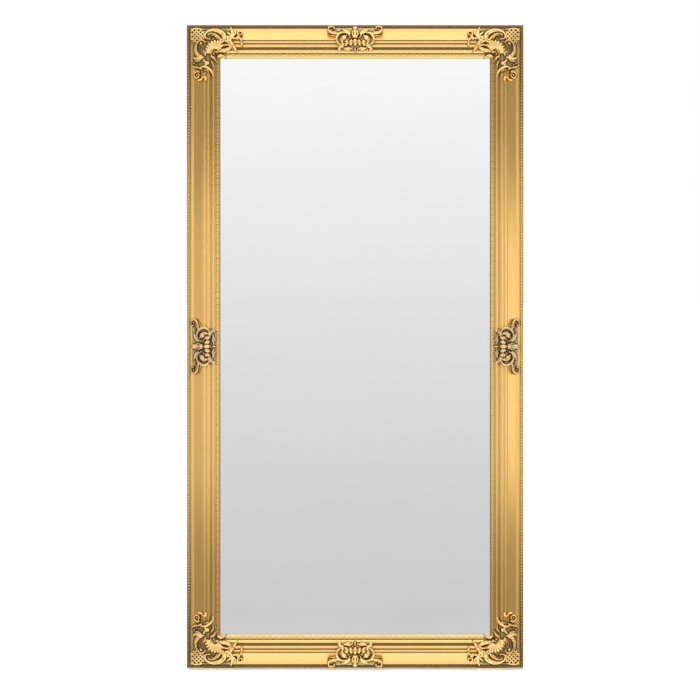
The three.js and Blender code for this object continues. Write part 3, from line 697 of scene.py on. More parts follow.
def moulding():
    section = Section()
    # outer edge and the bed of the small beads
    section.line(EDGE, (0, 12.8, 0), (0.8, 13.7, 1))
    section.line(GOLD, (2.4, 14, 1), (3, 13.3, 1), (6, 13, 1), (9, 13.3, 0.8),
                 (9.5, 14.2, 0.5), (9.9, 15.8, 0.1), (10.6, 16.3, 0))
    # scooped panel
    section.sweep((14.5, 17.5), (17.5, 18.2), 6)
    section.sweep((20, 18.7), (23.2, 20.9), 6)
    section.sweep((32.3, 27.2), (41.4, 33.6), 8)
    section.sweep((42.1, 34.1), (42.7, 33.5), 4)
    # two reeds and the torus, with the quirks between them
    section.line(GOLD, (43.5, 32.2, 1.2), (43.8, 31.9, 1.5))
    section.reed(48.2, 31.9, 4.3, 2.9, (3.2, 3))
    section.line(GOLD, (52.6, 31.7, 0.8))
    section.reed(57.9, 31.8, 5.2, 3.6, (3.2, 3.2))
    section.line(GOLD, (63.4, 30.6, 0.7), (64, 28.4, 0.7))
    section.line(SIGHT, (65.2, 27.4, 0.6))
    section.reed(71.6, 27.5, 6, 5, (4.8, 2.4), SIGHT)
    # bed of the bead-and-reel row, and the lip over the glass
    section.line(SIGHT, (77.9, 26.2, 0.55), (78.4, 25, 0.55), (79, 24.8, 0.1), (81.6, 24.7, 0.1),
                 (84.9, 25, 0.3), (85.4, 25.6, 0.2), (86.8, 25, 0.6), (87.7, 23.6, 0.7),
                 (RAIL_WIDTH, 22, 0.9), (RAIL_WIDTH, REBATE_DEPTH, 0.9))
    rebate = RAIL_WIDTH - REBATE_WIDTH
    section.line(TIMBER, (rebate, REBATE_DEPTH, 0), (rebate, 0, 0))
    return [np.array(column) for column in zip(*section.rows)]


FRONT_W, FRONT_H, FRONT_WAX_AND_SHADE, FRONT_PAINT = moulding()
GROUND_W, GROUND_H = FRONT_W[3:-3], FRONT_H[3:-3]


def bead(reach, half_width, height, rings=4):
    """A dome on its bed: an ellipsoid's upper part, closed a little below its middle."""
    rows = []
    for level in np.linspace(-0.35, math.pi / 2, rings + 1)[:-1]:
        turn = ring(BEAD_SIDES)
        rows.append(np.column_stack([reach * math.cos(level) * np.cos(turn),
                                     half_width * math.cos(level) * np.sin(turn),
                                     np.full(BEAD_SIDES, height * math.sin(level))]))
    tip = rings * BEAD_SIDES
    last = tip - BEAD_SIDES
    faces = round_faces(rings, BEAD_SIDES)
    faces += [[last + k, last + (k + 1) % BEAD_SIDES, tip] for k in range(BEAD_SIDES)]
    faces.append(list(range(BEAD_SIDES))[::-1])
    return np.vstack([*rows, [[0, 0, height]]]), faces


def rail(length, band, hollows, lip, end_shaded):
    """One mitred member: the moulding's surface, its bead strings and its raw back.

    band is how darkly the outer band is waxed and painted with shade at mid length (it darkens to full at
    the ends), hollows how darkly the rest of the section is painted with shade and wax, and lip its edge
    against the glass. The last is how much painted amber shade deepens the gold towards the ends, the
    sloping panel least.
    """
    # Painted shade with wax: the outer band darkens towards the ends.
    def band_tone(share):
        return band + (1 - band) * np.clip((np.abs(share) - 0.55) / 0.40, 0, 1)

    # Painted shade: amber deepens the gold towards the ends, the panel least.
    def painted_end_shade(share):
        rise = np.clip((np.abs(share) - 0.33) / 0.52, 0, 1)
        return end_shaded * rise * rise * (3 - 2 * rise)

    w, count = FRONT_W, len(FRONT_W)
    end = length / 2 - w - MITRE_GAP
    stations = np.linspace(-1, 1, 41)
    rows = [np.column_stack([end * t, w, FRONT_H]) for t in stations]
    # Wax and painted shade along the section: the hollows, the outer band and the lip.
    inner = np.where(w > LIP_EDGE, lip, hollows)
    tones = [np.where(w < BAND_EDGE, band_tone(t), inner) * FRONT_WAX_AND_SHADE for t in stations]
    thinned = np.where((w > PANEL[0]) & (w < PANEL[1]), PANEL_END_SHADE, 1)
    glaze = [thinned * painted_end_shade(t) for t in stations]
    first = np.arange(count)
    last = first + (len(stations) - 1) * count
    faces = grid_faces(len(stations), count, close=True) + [first.tolist(), last[::-1].tolist()]
    paints = [*FRONT_PAINT[1:], TIMBER] * (len(stations) - 1) + [TIMBER, TIMBER]
    shape = Shape()
    shape.add(np.vstack(rows), faces, paints, patina=np.concatenate(tones), glaze=np.concatenate(glaze))
    outer = [(0, bead(3.35, 2.95, 4.6))]
    sight = [(-0.25, bead(5.2, 2.9, 3.3, rings=5)), (0.25, bead(2.5, 2.6, 3.1))]
    string(shape, length, OUTER_BEAD, outer,
           lambda t: (band_tone(t), max(1.5 * band_tone(t) - 0.75, 0), painted_end_shade(t)))
    string(shape, length, SIGHT_BEAD, sight, lambda t: (0.25 + 0.4 * lip, 0, painted_end_shade(t)))
    return shape


def string(shape, length, run, beads, toned):
    """Repeats beads along a member; toned gives the wax and painted shade on their feet and crowns, and
    their painted end shade.
    """
    clear = length - 2 * run["middle"] - 1.3 * run["pitch"]
    count = round(clear / run["pitch"])
    for k in range(count + 1):
        for shift, (points, faces) in beads:
            spot = clear * (k / count - 0.5) + shift * run["pitch"]
            foot, crown, glaze = toned(2 * spot / length)
            low = np.clip(1 - points[:, 2] / 2.2, 0, 1)
            placed = points + (spot, run["middle"], run["base"])
            shape.add(placed, faces, run["paint"], patina=crown + (foot - crown) * low, glaze=glaze)


# Painted shade differs by member: darker hollows and band on the rails, a darker lip and ends on the
# stiles.
RAIL = rail(FRAME_WIDTH, band=1, hollows=1, lip=0.1, end_shaded=0)
STILE = rail(FRAME_HEIGHT, band=0.5, hollows=0.3, lip=1, end_shaded=0.7)
# The rails' sight edge and the whole stiles take gilt copies with their light painted in.
RAIL_FINISH = ("gilt_moulding", [GILT, UMBER, RAW_WOOD, RAIL_SIGHT_PAINTED_LIGHT_GILT])
STILE_FINISH = ("gilt_moulding", [STILE_PAINTED_LIGHT_GILT, UMBER, RAW_WOOD, STILE_PAINTED_LIGHT_GILT])
for name, turn in MEMBERS:
    shape, kind, finish = (STILE, "stile", STILE_FINISH) if turn % 2 else (RAIL, "rail", RAIL_FINISH)
    make_piece(shape, f"{name}_{kind}_gilded", "mirror", finish, f"{name}_{kind}",
               crease=38, place=member_place(turn), offset=0.7 * turn)


# ---- Castings laid on the moulding ----
def carve_corner():
    """Corner casting: a runs inward along the rail, b along the stile."""
    r = Relief((4, 160), (2, 160), np.minimum)
    r.bed([(10, 11), (49.5, 11), (75.5, 12), (107, 13), (124, 20), (137, 38), (121.5, 50), (120, 69),
           (104.5, 74), (102, 84.5), (83, 86), (80.5, 105), (71, 119.5), (66, 131.5), (49.5, 129),
           (38.5, 123), (17, 115), (13, 107.5), (18, 86), (14.5, 52.5), (10, 38)], sink=3.4)
    # trellis bed with its frame
    r.trellis([(11.5, 10), (38.5, 11), (50.5, 20), (49.5, 38), (38.5, 44), (26, 51), (13, 41.5),
               (10, 26)], pitch=7.6, strap=1.9, lift=2.6, depth=3.2)
    r.stroke([(12, 20), (20.5, 11.5), (33.5, 11.5), (47, 14.5)], [1.5, 2.2, 2.2, 1.2], 4)
    r.stroke([(11, 41.5), (12.5, 30.5), (12, 20)], [1.2, 1.8, 1.2], 3.2)
    # base leaves under the scrolls
    r.leaf([(102, 32), (118, 36.5), (128.5, 38), (142, 40.5)], [3.2, 3.6, 3, 1.6], 4, lobes=3)
    r.leaf([(107, 21), (116.5, 29.5), (119, 41.5)], [2, 3.4, 3], 2.8, lobes=3)
    # plume at the outer edge
    r.leaf([(117, 41.5), (121.5, 29.5), (120, 17.5), (116, 7)], [3, 5, 4.6, 1], [5.5, 6, 5, 3], lobes=3,
           ribs=2)
    r.stroke([(124, 33), (130, 24.5), (131, 15)], [2, 2.8, 1.2], 4.5, lobes=2)
    # end curl
    r.stroke([(132, 38), (137, 35.5), (134.5, 26)], [2.2, 2.6, 2], 5)
    r.stroke(spiral((142.5, 24.5), 8.2, 2.4, 110, 1.25), [2.9, 2.5, 2, 1.5], [6.5, 6.5, 6, 5])
    r.stroke([(134.5, 34.5), (143, 40.5), (147, 50)], [2.4, 2.8, 2.2], [6.5, 6.5, 6])
    r.dome((146.5, 55.5), (4, 5), 6.8)
    # S leaf towards the sight
    r.leaf([(90, 47.5), (102, 41.5), (114, 47.5), (124, 59.5), (136, 75.5)], [4.5, 7.2, 7.4, 5.2, 1.2],
           [4.5, 6, 6.5, 5.5, 3.5], lobes=4, ribs=2)
    r.leaf([(89, 69), (102, 69), (114, 64.5), (122.5, 53.5)], [3, 4.6, 4.4, 2], [4.5, 5.6, 5.4, 4],
           lobes=3, ribs=2)
    r.stroke([(97.5, 58.5), (107, 56), (115.5, 58.5), (124, 69)], [1.8, 2.4, 2.2, 1], 7.4)
    # fan shell
    r.shell((79, 75.5), start=170, end=322, inner=8, outer=33.5, flutes=9, lift=5, tilt=4)
    # scroll 1
    r.stroke([(59, 26), (71, 25), (83, 32), (90, 41.5)], [5, 5.6, 5.4, 3], 0.6)
    r.pit((66, 30), (8.5, 4.6), 6, turn=15)
    r.stroke([(64.5, 32), (71, 28.5), (78, 33.5), (83, 41.5)], [1, 1.8, 2, 1.2], [3.2, 3.6, 3.6, 3.2])
    r.leaf([(60.5, 40.5), (51.5, 38), (50, 27.5), (59, 18), (74.5, 15.5), (89, 20), (98.5, 29),
            (101, 40.5), (95, 50)], [1.6, 1.9, 2.3, 3.4, 4.9, 6.4, 6.8, 5.6, 2], [6.5, 6.5, 6.5, 7.5, 8.5,
            9, 9, 8, 6], ribs=2)
    r.dome((61.5, 40), (2.8, 2.8), 7)
    # scroll 2
    r.stroke([(38.5, 50), (41, 62), (47, 74), (51.5, 83.5)], [4, 4.6, 4.4, 2.4], 0.4)
    r.pit((41, 62), (4.2, 10.5), 6, turn=-14)
    r.stroke([(39.5, 53.5), (44.5, 60.5), (47, 70.5)], [1, 1.5, 0.9], 3.4)
    r.leaf([(50.5, 48.5), (43.5, 43.5), (33.5, 45), (26.5, 54.5), (24.5, 68), (27.5, 78.5), (36, 86),
            (48, 90)], [1.5, 1.9, 2.3, 3.2, 4.4, 5.4, 5.2, 1.6], [6.5, 6.5, 6.5, 7.5, 8.5, 9, 8.5, 6],
           ribs=2)
    r.dome((50, 49), (2.5, 2.5), 7)
    r.stroke([(15.5, 41.5), (20, 50), (23.5, 58.5)], [1, 1.6, 1], 3.4)
    # hinge volute of the shell
    r.stroke([(67, 83), (63.5, 75), (66.5, 67.5), (75, 64.5), (84, 67.5), (90, 75)], [1.6, 2.4, 2.8, 3,
              2.8, 1.6], [5.5, 6.6, 7.4, 7.8, 7, 5.5])
    r.pit((75.5, 76), (7, 6.5), 7)
    r.dome((72.5, 79), (3, 3), 5.5)
    r.stroke([(90, 72.5), (98.5, 74), (107, 71)], [1.8, 2.2, 1], 5.5)
    # petals at the inner corner
    r.leaf([(83, 86), (91.5, 82.5), (104.5, 86.5)], [2.6, 3.6, 1.2], [4.5, 5, 3.6])
    r.leaf([(66, 86), (73.5, 90.5), (81.5, 103)], [2.4, 3.4, 1.2], [4.5, 5, 3.4])
    # vertical leg: leaf end with tips
    r.leaf([(38.5, 84.5), (29, 90.5), (20.5, 90), (15.5, 84.5)], [3.4, 4.4, 3.6, 1.2], [6, 6.5, 6, 4.5],
           lobes=2)
    r.leaf([(41, 90.5), (31.5, 97), (21.5, 98)], [3, 3.8, 1.6], [5.5, 6.2, 5], lobes=2)
    r.dome((20.5, 104), (3, 2.6), 5.4)
    r.dome((27, 108), (2.4, 2.2), 5.2)
    # ribbon and rosette
    r.stroke([(13, 107.5), (19, 113), (30, 115), (41, 120)], [2, 2.6, 2.8, 2], [4.8, 5.6, 6, 5.6])
    r.leaf([(45.5, 94.5), (51.5, 104), (49.5, 113.5)], [2.6, 3.4, 2.6], 4.6, lobes=2)
    r.dome((56.5, 104), (5.6, 5.6), 5.8, flutes=5, dimple=0.5)
    r.leaf([(66, 98), (71, 107.5), (69.5, 117)], [1.8, 2.4, 1.2], 4)
    # arched leaf
    r.leaf([(38.5, 115), (49.5, 113.5), (61.5, 119.5), (69.5, 129), (72.5, 143.5)], [2, 3.4, 4.6, 4.2,
            1.2], [6, 7, 7, 6, 3], ribs=2)
    r.stroke([(47, 122), (55.5, 123), (61.5, 131.5)], [1.4, 2, 1], 4.5)
    # ring volute and end curl
    r.stroke(spiral((27.5, 135), 9.6, 5.4, -60, -1), [3.6, 3.2, 2.6, 1.8], [7, 7, 6.5, 5])
    r.dome((27.5, 135), (3, 3), 7)
    r.stroke([(31.5, 148), (39.5, 147), (45.5, 141), (53, 140)], [3.4, 2.8, 2.4, 2], [6.5, 6, 5.6, 5.6])
    r.dome((51.5, 146), (4.6, 5.4), 6.4)
    return r.cast()


def carve_centre(inset):
    """Crest casting for the middle of a member: a runs along it, b inward from the given inset."""
    r = Relief((-82, 82), (3, 80), lambda a, b: b + inset)
    half = [(-6, 10), (-30, 9.5), (-56, 10), (-62, 17), (-52, 24), (-48, 37.5), (-48.5, 47), (-44, 62.5),
            (-45.5, 70), (-18, 72)]
    r.bed([*half, (0, 74.5), *[(-a, b) for a, b in reversed(half)]], sink=3)
    for r.hand in (1, -1):
        # outer leaves and scrolled horns
        r.leaf([(-13, 25.5), (-22.5, 17.5), (-37, 13.5)], [2.4, 4.4, 1.4], [5, 6, 4], lobes=2)
        r.leaf([(-49, 33), (-56.5, 30), (-64.5, 29)], [2, 2, 0.8], 1.8)
        r.stroke([(-54, 13), (-56, 7.5), (-63, 5.5), (-69.5, 9), (-70, 16), (-62, 22), (-50, 25),
                  (-38, 23.5)], [1.3, 1.8, 2.2, 2.8, 3.4, 3.8, 3.4, 2], [6.5, 7, 7.5, 8, 8, 8, 7.5, 6])
        r.stroke([(-62, 17), (-53, 20), (-43, 19)], [0.8, 1.5, 0.8], 4.5)
        r.dome((-55.5, 11), (2.8, 2.8), 7.5)
        # inner scrolls round the fan
        r.leaf([(-34.5, 48), (-33.5, 37.5), (-22.5, 30)], [4.2, 6.4, 2.4], 3.6, lobes=3)
        r.leaf([(-13, 35), (-18, 26), (-28, 21.5), (-39, 24), (-47.5, 33.5), (-49, 45), (-42, 53.5),
                (-31, 59)], [1.6, 2.2, 2.6, 3.2, 3.8, 3.8, 2.8, 1.4], [6, 7, 7.5, 8, 8, 7.5, 7, 6],
               ribs=2)
        r.dome((-29.5, 36), (7.6, 7.6), 8, flutes=5, dimple=0.35)
        r.stroke([(-27.5, 48), (-20, 43), (-13, 38)], [1.6, 2.4, 1.2], 6)
        r.stroke([(-44, 58), (-36, 61), (-26, 57)], [1.4, 2.2, 1.2], 6)
        # curled ends and the base ribbon
        r.leaf([(-46.5, 67.5), (-42, 63), (-34.5, 63)], [1, 2, 1.4], 5)
        r.dome((-41, 68), (4.6, 4), 6.5)
        r.leaf([(-6, 67.5), (-15.5, 64.5), (-26, 65.5), (-31, 62.5)], [1.4, 3.4, 3, 1], 5.8)
        r.stroke([(-13, 70), (-19, 68.5), (-25, 69)], [1.2, 1.9, 0.8], 4)
    r.hand = 1
    # fan of seven flutes under a string of pearls
    for k in (-3, 3, -2, 2, -1, 1, 0):
        r.dome((11 * k, 49 + 0.75 * k * k), (6.2 - 0.5 * abs(k), 11 - 1.3 * abs(k)), 9.5 - 0.7 * abs(k),
               turn=-13 * k, depth=8)
    for k in range(-4, 5):
        r.dome((5.2 * k, 36.5 + 0.35 * k * k), (1.9, 1.9), 9)
    # palmette at the outer edge and drop at the inner one
    for r.hand in (1, -1):
        r.stroke([(-3, 35.5), (-7, 27), (-6, 17)], [2, 2.6, 1.4], [8, 8, 7])
    r.hand = 1
    r.leaf([(0, 34), (0, 24), (0, 12)], [2.4, 4.4, 6.4], [8.5, 9, 9.5])
    r.dome((0, 11.5), (6.6, 7), 9, flutes=3)
    r.leaf([(0, 62.5), (0, 67.5), (0, 74.5)], [1.6, 3, 0.9], 6.2)
    return r.cast()


# Toning scales the castings' wax and painted shade, most on the corners.
corner_cast = carve_corner()
for name, side_x, side_z in CORNERS:
    make_piece(corner_cast, f"corner_casting_{name}", "mirror", ("antique_gilt_casting", [CAST_GILT]),
               f"corner_ornament_{name}", crease=60, place=corner_place(side_x, side_z), toning=1.3)
# The stiles' crests take a darker, greyer casting gold: painted shade.
for parity, inset, look, toning in ((0, 0, CAST_GILT, 0.8), (1, STILE_CREST_INSET, STILE_CREST_PAINTED_SHADE_GILT, 1)):
    crest = carve_centre(inset)
    for name, turn in MEMBERS[parity::2]:
        place = member_place(turn) @ Matrix.Translation((0, inset, 0))
        make_piece(crest, f"centre_casting_{name}", "mirror", ("antique_gilt_casting", [look]),
                   f"centre_ornament_{name}", crease=60, place=place, offset=0.3 * turn,
                   toning=toning)


# ---- Glass and its backing board ----
def sheet(half_a, half_b, thickness, chamfer):
    """A flat sheet lying in (a, b), from c = 0 to its thickness, with ground edges."""
    rings = []
    for inset, depth in ((chamfer, 0), (0, chamfer), (0, thickness - chamfer), (chamfer, thickness)):
        a, b = half_a - inset, half_b - inset
        rings.append([(-a, -b, depth), (a, -b, depth), (a, b, depth), (-a, b, depth)])
    shape = Shape()
    faces = grid_faces(len(rings), 4, close=True)
    shape.add(np.vstack(rings), faces + [[3, 2, 1, 0], [12, 13, 14, 15]])
    return shape


def drawn_points(vertices, place):
    """A CAD node's points taken back to the millimetres that they are drawn in."""
    inward = place.inverted()
    return np.array([inward @ (vertex.co / MM) for vertex in vertices])


def drawn_box(node, body):
    points = drawn_points(frame["nodes"][node].data.vertices, BODY_PLACES[body])
    return points.min(0), points.max(0)


for node, finish, chamfer in (("mirror_glass", SILVERED, 0.8), ("backing_board", BOARD, 0.4)):
    low, high = drawn_box(node, "mirror")
    flat = axes((1, 0, 0), (0, 0, -1), (0, 1, 0), (0, low[1], (low[2] + high[2]) / 2))
    shape = sheet(high[0], (high[2] - low[2]) / 2, high[1] - low[1], chamfer)
    make_piece(shape, f"{node}_sheet", "mirror", finish, node, crease=20, place=flat)


# ---- Softened copies of the CAD's flat parts, with turned fittings added ----
ALONG_Z = axes((0, 0, 1), (1, 0, 0), (0, 1, 0), (0, 0, 0))
# Screw heads, from the shank out: (along, radius).
COUNTERSUNK = [(-2.4, 2.1), (-0.35, 4.15), (0, 3.9)]
PAN = [(-0.05, 2.1), (0, 4), (0.9, 3.85), (1.5, 3.2)]
THREAD_PITCH = 1.3
SCREW_SIDES, TURNED_SIDES = 20, 28
BATTEN_SCREW, HINGE_SCREW, SHORT_SCREW = 32, 17, 14
BATTEN_SCREW_X = FRAME_WIDTH / 2 - RAIL_WIDTH + 30
BATTEN_SCREW_RISES = (15, 45)
BATTEN_FOOT = HINGE_HEIGHT + 2
HINGE_SCREW_X, HINGE_SCREW_Z = 20, 24
BRACKET_SCREW_X = 382
PLATE_SCREW_RUNS, PLATE_SCREW_INSET = (46, 88), 31
# Turned bars along x: (from, to, radius, rounding).
half = HINGE_LEAF_LENGTH / 2
FRAME_KNUCKLES = [(-half, -11.6, KNUCKLE_RADIUS, 0.4), (11.6, half, KNUCKLE_RADIUS, 0.4)]
STRUT_KNUCKLE = [(-11.2, 11.2, KNUCKLE_RADIUS, 0.4)]
HINGE_PIN = [(-half - 1, half + 1, 2, 0.3), (-half - 2, -half - 0.4, 3.4, 0.6),
             (half + 0.4, half + 2, 3.4, 0.6)]
STAY_STUD = [(327, 348.5, 3, 0.4), (340.3, 344.1, 5.5, 0.5), (347.9, 350.1, 6.5, 1)]
STAY_RIVET = [(341.9, 344.2, 5.6, 1), (347.8, 351.5, 5.1, 0.4)]


def turned(bars):
    """Bars turned about x with rounded ends."""
    shape = Shape()
    for start, end, radius, rounding in bars:
        curve = [(rounding * (1 - math.sin(angle)), radius - rounding * (1 - math.cos(angle)))
                 for angle in np.linspace(0, math.pi / 2, 4)]
        profile = [(start + dx, r) for dx, r in reversed(curve)] + [(end - dx, r) for dx, r in curve]
        shape.add(*lathe(profile, TURNED_SIDES))
    return shape


def screw_shape(reach, head, turn):
    """A threaded cross-head screw along x, its head's seat or face at x = 0."""
    profile = [(-reach, 0.4), (-reach + 4, 1.9)]
    for k in range(int((reach - 9) / THREAD_PITCH)):
        root = -reach + 4.3 + THREAD_PITCH * k
        profile += [(root, 1.7), (root + 0.65, 2.15)]
    profile += [(-3.2, 2), *head]
    sides = SCREW_SIDES
    points = lathe(profile, sides)[0]
    rim = points[-sides:]
    angles = turn + ring(sides)
    cross = 0.6 + 1.5 * np.maximum(0, np.cos(4 * (angles - turn))) ** 2
    dished = rim * (1, 0.8, 0.8) + (0.15, 0, 0)
    mouth = np.column_stack([rim[:, 0] + 0.12, cross * np.cos(angles), cross * np.sin(angles)])
    bottom = mouth * (1, 0.5, 0.5) - (1.3, 0, 0)
    last = len(points) + 2 * sides
    caps = [list(range(sides))[::-1], list(range(last, last + sides))]
    dark = np.repeat([0, 0.8], [len(points) + sides, 2 * sides])
    shape = Shape()
    shape.add(np.vstack([points, dished, mouth, bottom]), round_faces(len(profile) + 3, sides) + caps,
              patina=dark)
    return shape


def standing(spot):
    """Stands a fitting drawn about x on a spot, pointing back out of the wood."""
    return axes((0, 1, 0), (0, 0, 1), (1, 0, 0), spot)


turns = np.random.default_rng(11).uniform(0, math.pi / 2, 64).tolist()


def place_screw(node, body, spot, reach, finish):
    shape = screw_shape(reach, COUNTERSUNK, turns.pop())
    make_piece(shape, f"{node}_crosshead", body, finish, node, crease=40, place=standing(spot))


def place_turned(node, bars, body, spot, finish):
    make_piece(turned(bars), f"{node}_turned", body, finish, node, crease=40, place=spot)


def place_soft(node, body, width, finish, turn=HERE, extra=()):
    """A CAD part with its sharp edges rounded, and other drawn shapes joined to it."""
    solid = bmesh.new()
    solid.from_mesh(frame["nodes"][node].data)
    bmesh.ops.remove_doubles(solid, verts=solid.verts, dist=2e-6)
    bmesh.ops.dissolve_limit(solid, angle_limit=math.radians(1.5), verts=solid.verts, edges=solid.edges)
    crisp = [edge for edge in solid.edges
             if len(edge.link_faces) == 2 and edge.calc_face_angle() > math.radians(40)]
    bmesh.ops.bevel(solid, geom=crisp, offset=width * MM, segments=2, profile=0.5,
                    affect="EDGES", clamp_overlap=True)
    solid.verts.index_update()
    shape = Shape()
    shape.add(drawn_points(solid.verts, BODY_PLACES[body] @ turn),
              [[vertex.index for vertex in face.verts] for face in solid.faces])
    solid.free()
    for other, spot in extra:
        marks = {key: np.concatenate(parts) for key, parts in other.marks.items()}
        points = moved(np.vstack(other.points), turn.inverted() @ spot)
        shape.add(points, other.faces, np.concatenate(other.paints), **marks)
    offset = (len(node) * 0.137, turns[0], 0.05)
    make_piece(shape, f"{node}_softened", body, finish, node, crease=34, place=turn, offset=offset)


# Timber of the batten and the strut
place_soft("hinge_batten", "mirror", 1.2, BEECH)
for node in ("strut_head_rail", "strut_foot_rail"):
    place_soft(node, "strut", 1, BEECH)
for name, side in SIDES:
    place_soft(f"strut_leg_{name}", "strut", 0.6, BEECH, ALONG_Z)
    place_soft(f"strut_foot_{name}", "strut", 0.9, RUBBER)
    place_soft(f"base_pad_{name}", "mirror", 0.5, RUBBER)

# Screws of the batten and the hinges
for k in range(4):
    side, end = (-1, 1)[k // 2], k % 2
    x = side * HINGE_X + (-1, 1)[end] * HINGE_SCREW_X
    spot = (side * BATTEN_SCREW_X, BATTEN_BACK, BATTEN_FOOT + BATTEN_SCREW_RISES[end])
    place_screw(f"batten_screw_{k + 1}", "mirror", spot, BATTEN_SCREW, STEEL)
    spot = (x, LEAF_BACK, HINGE_HEIGHT + HINGE_SCREW_Z)
    place_screw(f"hinge_frame_screw_{k + 1}", "mirror", spot, HINGE_SCREW, BRASS)
    spot = (x, LEAF_BACK - HINGE_BACK, -HINGE_SCREW_Z)
    place_screw(f"hinge_strut_screw_{k + 1}", "strut", spot, HINGE_SCREW, BRASS)

# Hinges, stays and their pivots
for name, side in SIDES:
    pin = Matrix.Translation((side * HINGE_X, HINGE_BACK, HINGE_HEIGHT))
    knuckles = [(turned([bar]), pin) for bar in FRAME_KNUCKLES]
    place_soft(f"hinge_frame_leaf_{name}", "mirror", 0.3, BRASS, extra=knuckles)
    knuckles = [(turned(STRUT_KNUCKLE), Matrix.Translation((side * HINGE_X, 0, 0)))]
    place_soft(f"hinge_strut_leaf_{name}", "strut", 0.3, BRASS, extra=knuckles)
    place_turned(f"hinge_pin_{name}", HINGE_PIN, "mirror", pin, STEEL)

    middle = sum(drawn_box(f"stay_stud_{name}", "strut")) / 2
    mirrored = Matrix.Diagonal((side, 1, 1, 1))
    stud = Matrix.Translation((0, middle[1], middle[2])) @ mirrored
    place_turned(f"stay_stud_{name}", STAY_STUD, "strut", stud, BRASS)

    pivot = mirror_place.inverted() @ (joints[f"stay_{name}_swing"] / MM)
    rivet = Matrix.Translation((0, pivot[1], pivot[2])) @ mirrored
    extra = [(turned([bar]), rivet) for bar in STAY_RIVET]
    for rise in (-10, 10):
        spot = (side * BRACKET_SCREW_X, BRACKET_BACK, pivot[2] + rise)
        extra.append((screw_shape(SHORT_SCREW, PAN, turns.pop()), standing(spot)))
    place_soft(f"stay_bracket_{name}", "mirror", 0.35, BRASS, extra=extra)
    place_soft(f"stay_arm_{name}", f"stay_{name}", 0.4, BRASS, ALONG_Z)

# Corner plates with their screws, and the points that hold the board in
for name, side_x, side_z in CORNERS:
    extra = []
    for run in PLATE_SCREW_RUNS:
        for a, b in ((run, PLATE_SCREW_INSET), (PLATE_SCREW_INSET, run)):
            z = FRAME_HEIGHT - b if side_z > 0 else b
            spot = (side_x * (FRAME_WIDTH / 2 - a), PLATE_BACK, z)
            extra.append((screw_shape(SHORT_SCREW, PAN, turns.pop()), standing(spot)))
    place_soft(f"mitre_plate_{name}", "mirror", 0.3, STEEL, extra=extra)
for k in range(8):
    place_soft(f"glazing_point_{k + 1}", "mirror", 0.12, STEEL)


# ---- Floor, light and camera ----
def floor_look():
    look = Look("pale_floor", Roughness=0.8, Emission_Strength=0.22, Emission_Color=(1, 1, 1, 1))
    speck = look.node("TexNoise", {"Vector": look.node("TexCoord").outputs["Object"], "Scale": 30,
                                   "Detail": 4}).outputs[0]
    return look.finish(look.mix(speck, (0.93, 0.93, 0.93, 1), (0.95, 0.95, 0.95, 1)))


FLOOR_REACH = 8
FLOOR_DROP = 0.0003
floor_mesh = bpy.data.meshes.new("floor")
corners = [(x * FLOOR_REACH, y * FLOOR_REACH, -FLOOR_DROP)
           for x, y in ((-1, -1), (1, -1), (1, 1), (-1, 1))]
floor_mesh.from_pydata(corners, [], [(0, 1, 2, 3)])
floor_mesh.materials.append(floor_look())
floor = bpy.data.objects.new("floor", floor_mesh)
bpy.context.scene.collection.objects.link(floor)
floor.visible_glossy = False

# What the gilding and the glass reflect: brightness by degrees above the horizon.
FRONT_WALL = [(-90, 1.35), (-60, 1.3), (-48, 1.15), (-38, 1), (-26, 1.15), (-10, 1.1), (-2, 0.68),
              (0.5, 0.635), (3.8, 0.69), (8, 0.785), (12, 0.89), (15.6, 0.99), (20, 1.08), (25, 1.25),
              (30, 0.75), (40, 0.8), (48, 1.3), (60, 1.3), (75, 1.28), (90, 1.35)]
SIDE_WALL = [(-90, 1.30), (-40, 0.90), (-20, 0.45), (0, 0.48), (20, 0.50), (40, 0.90), (60, 1.2),
             (90, 1.40)]
WALL_TOP = 1.6
# How it changes to the side, by the sideways part of the direction.
SIDEWAYS = [(0, 0.675), (0.12, 0.675), (0.28, 0.98), (0.58, 0.93), (0.70, 0.48), (0.80, 0.44),
            (0.92, 0.66), (1, 0.66)]
SIDEWAYS_TOP = 1.5


def studio_world():
    """Even light on what is matt, a graded room in what is bright, and white behind everything."""
    world = bpy.data.worlds.new("studio")
    bpy.context.scene.world = world
    graph = Graph(world)
    graph.tree.nodes.clear()
    split = graph.node("SeparateXYZ", {0: graph.node("TexCoord").outputs["Generated"]})
    sideways = graph.math("ABSOLUTE", split.outputs[0], 0)
    height = graph.math("DIVIDE", graph.math("ARCSINE", split.outputs[2], 0), math.pi)
    height = graph.plus(height, 0.5)

    def curve(source, stops, top):
        ramp = graph.node("ValToRGB", {0: source})
        elements = ramp.color_ramp.elements
        while len(elements) < len(stops):
            elements.new(0.5)
        for element, (position, value) in zip(elements, stops):
            element.position = position
            element.color = (value / top,) * 3 + (1,)
        return ramp.outputs[0]

    def wall(stops):
        return curve(height, [((degrees + 90) / 180, value) for degrees, value in stops], WALL_TOP)

    beside = graph.node("MapRange", {"Value": sideways, "From Min": 0.60, "From Max": 0.85},
                        interpolation_type="SMOOTHSTEP")
    toned = graph.mix(beside.outputs[0], wall(FRONT_WALL), wall(SIDE_WALL))
    toned = graph.mix(1, toned, curve(sideways, SIDEWAYS, 1), "MULTIPLY")
    path = graph.node("LightPath")
    shader = graph.node("Background", {"Color": toned, "Strength": WALL_TOP * SIDEWAYS_TOP}).outputs[0]
    for ray, strength in (("Is Diffuse Ray", 1.12), ("Is Camera Ray", 1)):
        even = graph.node("Background", {"Color": (1, 1, 1, 1), "Strength": strength}).outputs[0]
        shader = graph.node("MixShader", {0: path.outputs[ray], 1: shader, 2: even}).outputs[0]
    graph.node("OutputWorld", {0: shader})


studio_world()


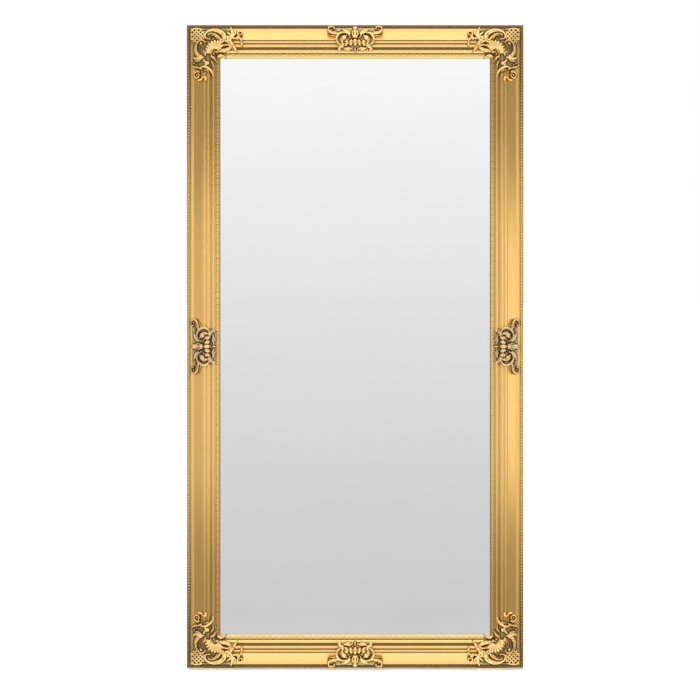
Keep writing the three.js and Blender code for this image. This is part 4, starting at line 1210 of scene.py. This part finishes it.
def soft_light(name, spot, target, size, power, lit=None):
    """A panel of light; one with a collection to light is seen reflected, but only there."""
    data = bpy.data.lights.new(name, "AREA")
    data.shape = "RECTANGLE"
    data.size, data.size_y = size
    data.energy = power
    light = bpy.data.objects.new(name, data)
    light.location = spot
    light.rotation_euler = (Vector(target) - Vector(spot)).to_track_quat("-Z", "Y").to_euler()
    light.visible_glossy = lit is not None
    light.visible_camera = False
    if lit:
        light.light_linking.receiver_collection = lit
    bpy.context.scene.collection.objects.link(light)


MODEL_MIDDLE = (0, 0, 0.8)
for name, spot, size, power in (("key_light", (-2.5, -3.5, 3.8), 2.5, 60),
                                ("fill_light", (3.2, -2.5, 3), 2.5, 40),
                                ("back_light", (0.5, 4, 3.5), 3, 60)):
    soft_light(name, spot, MODEL_MIDDLE, (size, size), power)
# Cards beside the frame, which its stiles pick up at mid height.
gilding = bpy.data.collections.new("gilding")
for piece in bpy.data.objects:
    if piece.name.endswith("_gilded") or "_casting_" in piece.name:
        gilding.objects.link(piece)
CARD = (0.7, 0.92)
CARD_HEIGHT = 0.87
for name, side, brightness in (("left_card", -1, 0.30), ("right_card", 1, 0.78)):
    soft_light(name, (side * 1.3, -0.45, CARD_HEIGHT), (side * 0.4, -0.2, CARD_HEIGHT), CARD,
               brightness * math.pi * CARD[0] * CARD[1], gilding)

VIEW_DISTANCE = 5500
VIEW_WIDTH = 1851
OUTLINE_FORWARD = 14
SENSOR = 36.0
camera_data = bpy.data.cameras.new("camera")
camera_data.sensor_width = SENSOR
camera_data.lens = SENSOR * VIEW_DISTANCE / VIEW_WIDTH
camera_data.shift_x = -0.0073
camera_data.shift_y = -0.005
camera_data.clip_end = 100
camera = bpy.data.objects.new("camera", camera_data)
looking = axes((1, 0, 0), (0, 0, 1), (0, -1, 0), (0, -OUTLINE_FORWARD - VIEW_DISTANCE, FRAME_HEIGHT / 2))
place = mirror_place @ looking
camera.matrix_world = Matrix.Translation(place.translation * MM) @ place.to_3x3().to_4x4()
bpy.context.scene.collection.objects.link(camera)
bpy.context.scene.camera = camera
bpy.context.scene.view_settings.view_transform = "Standard"
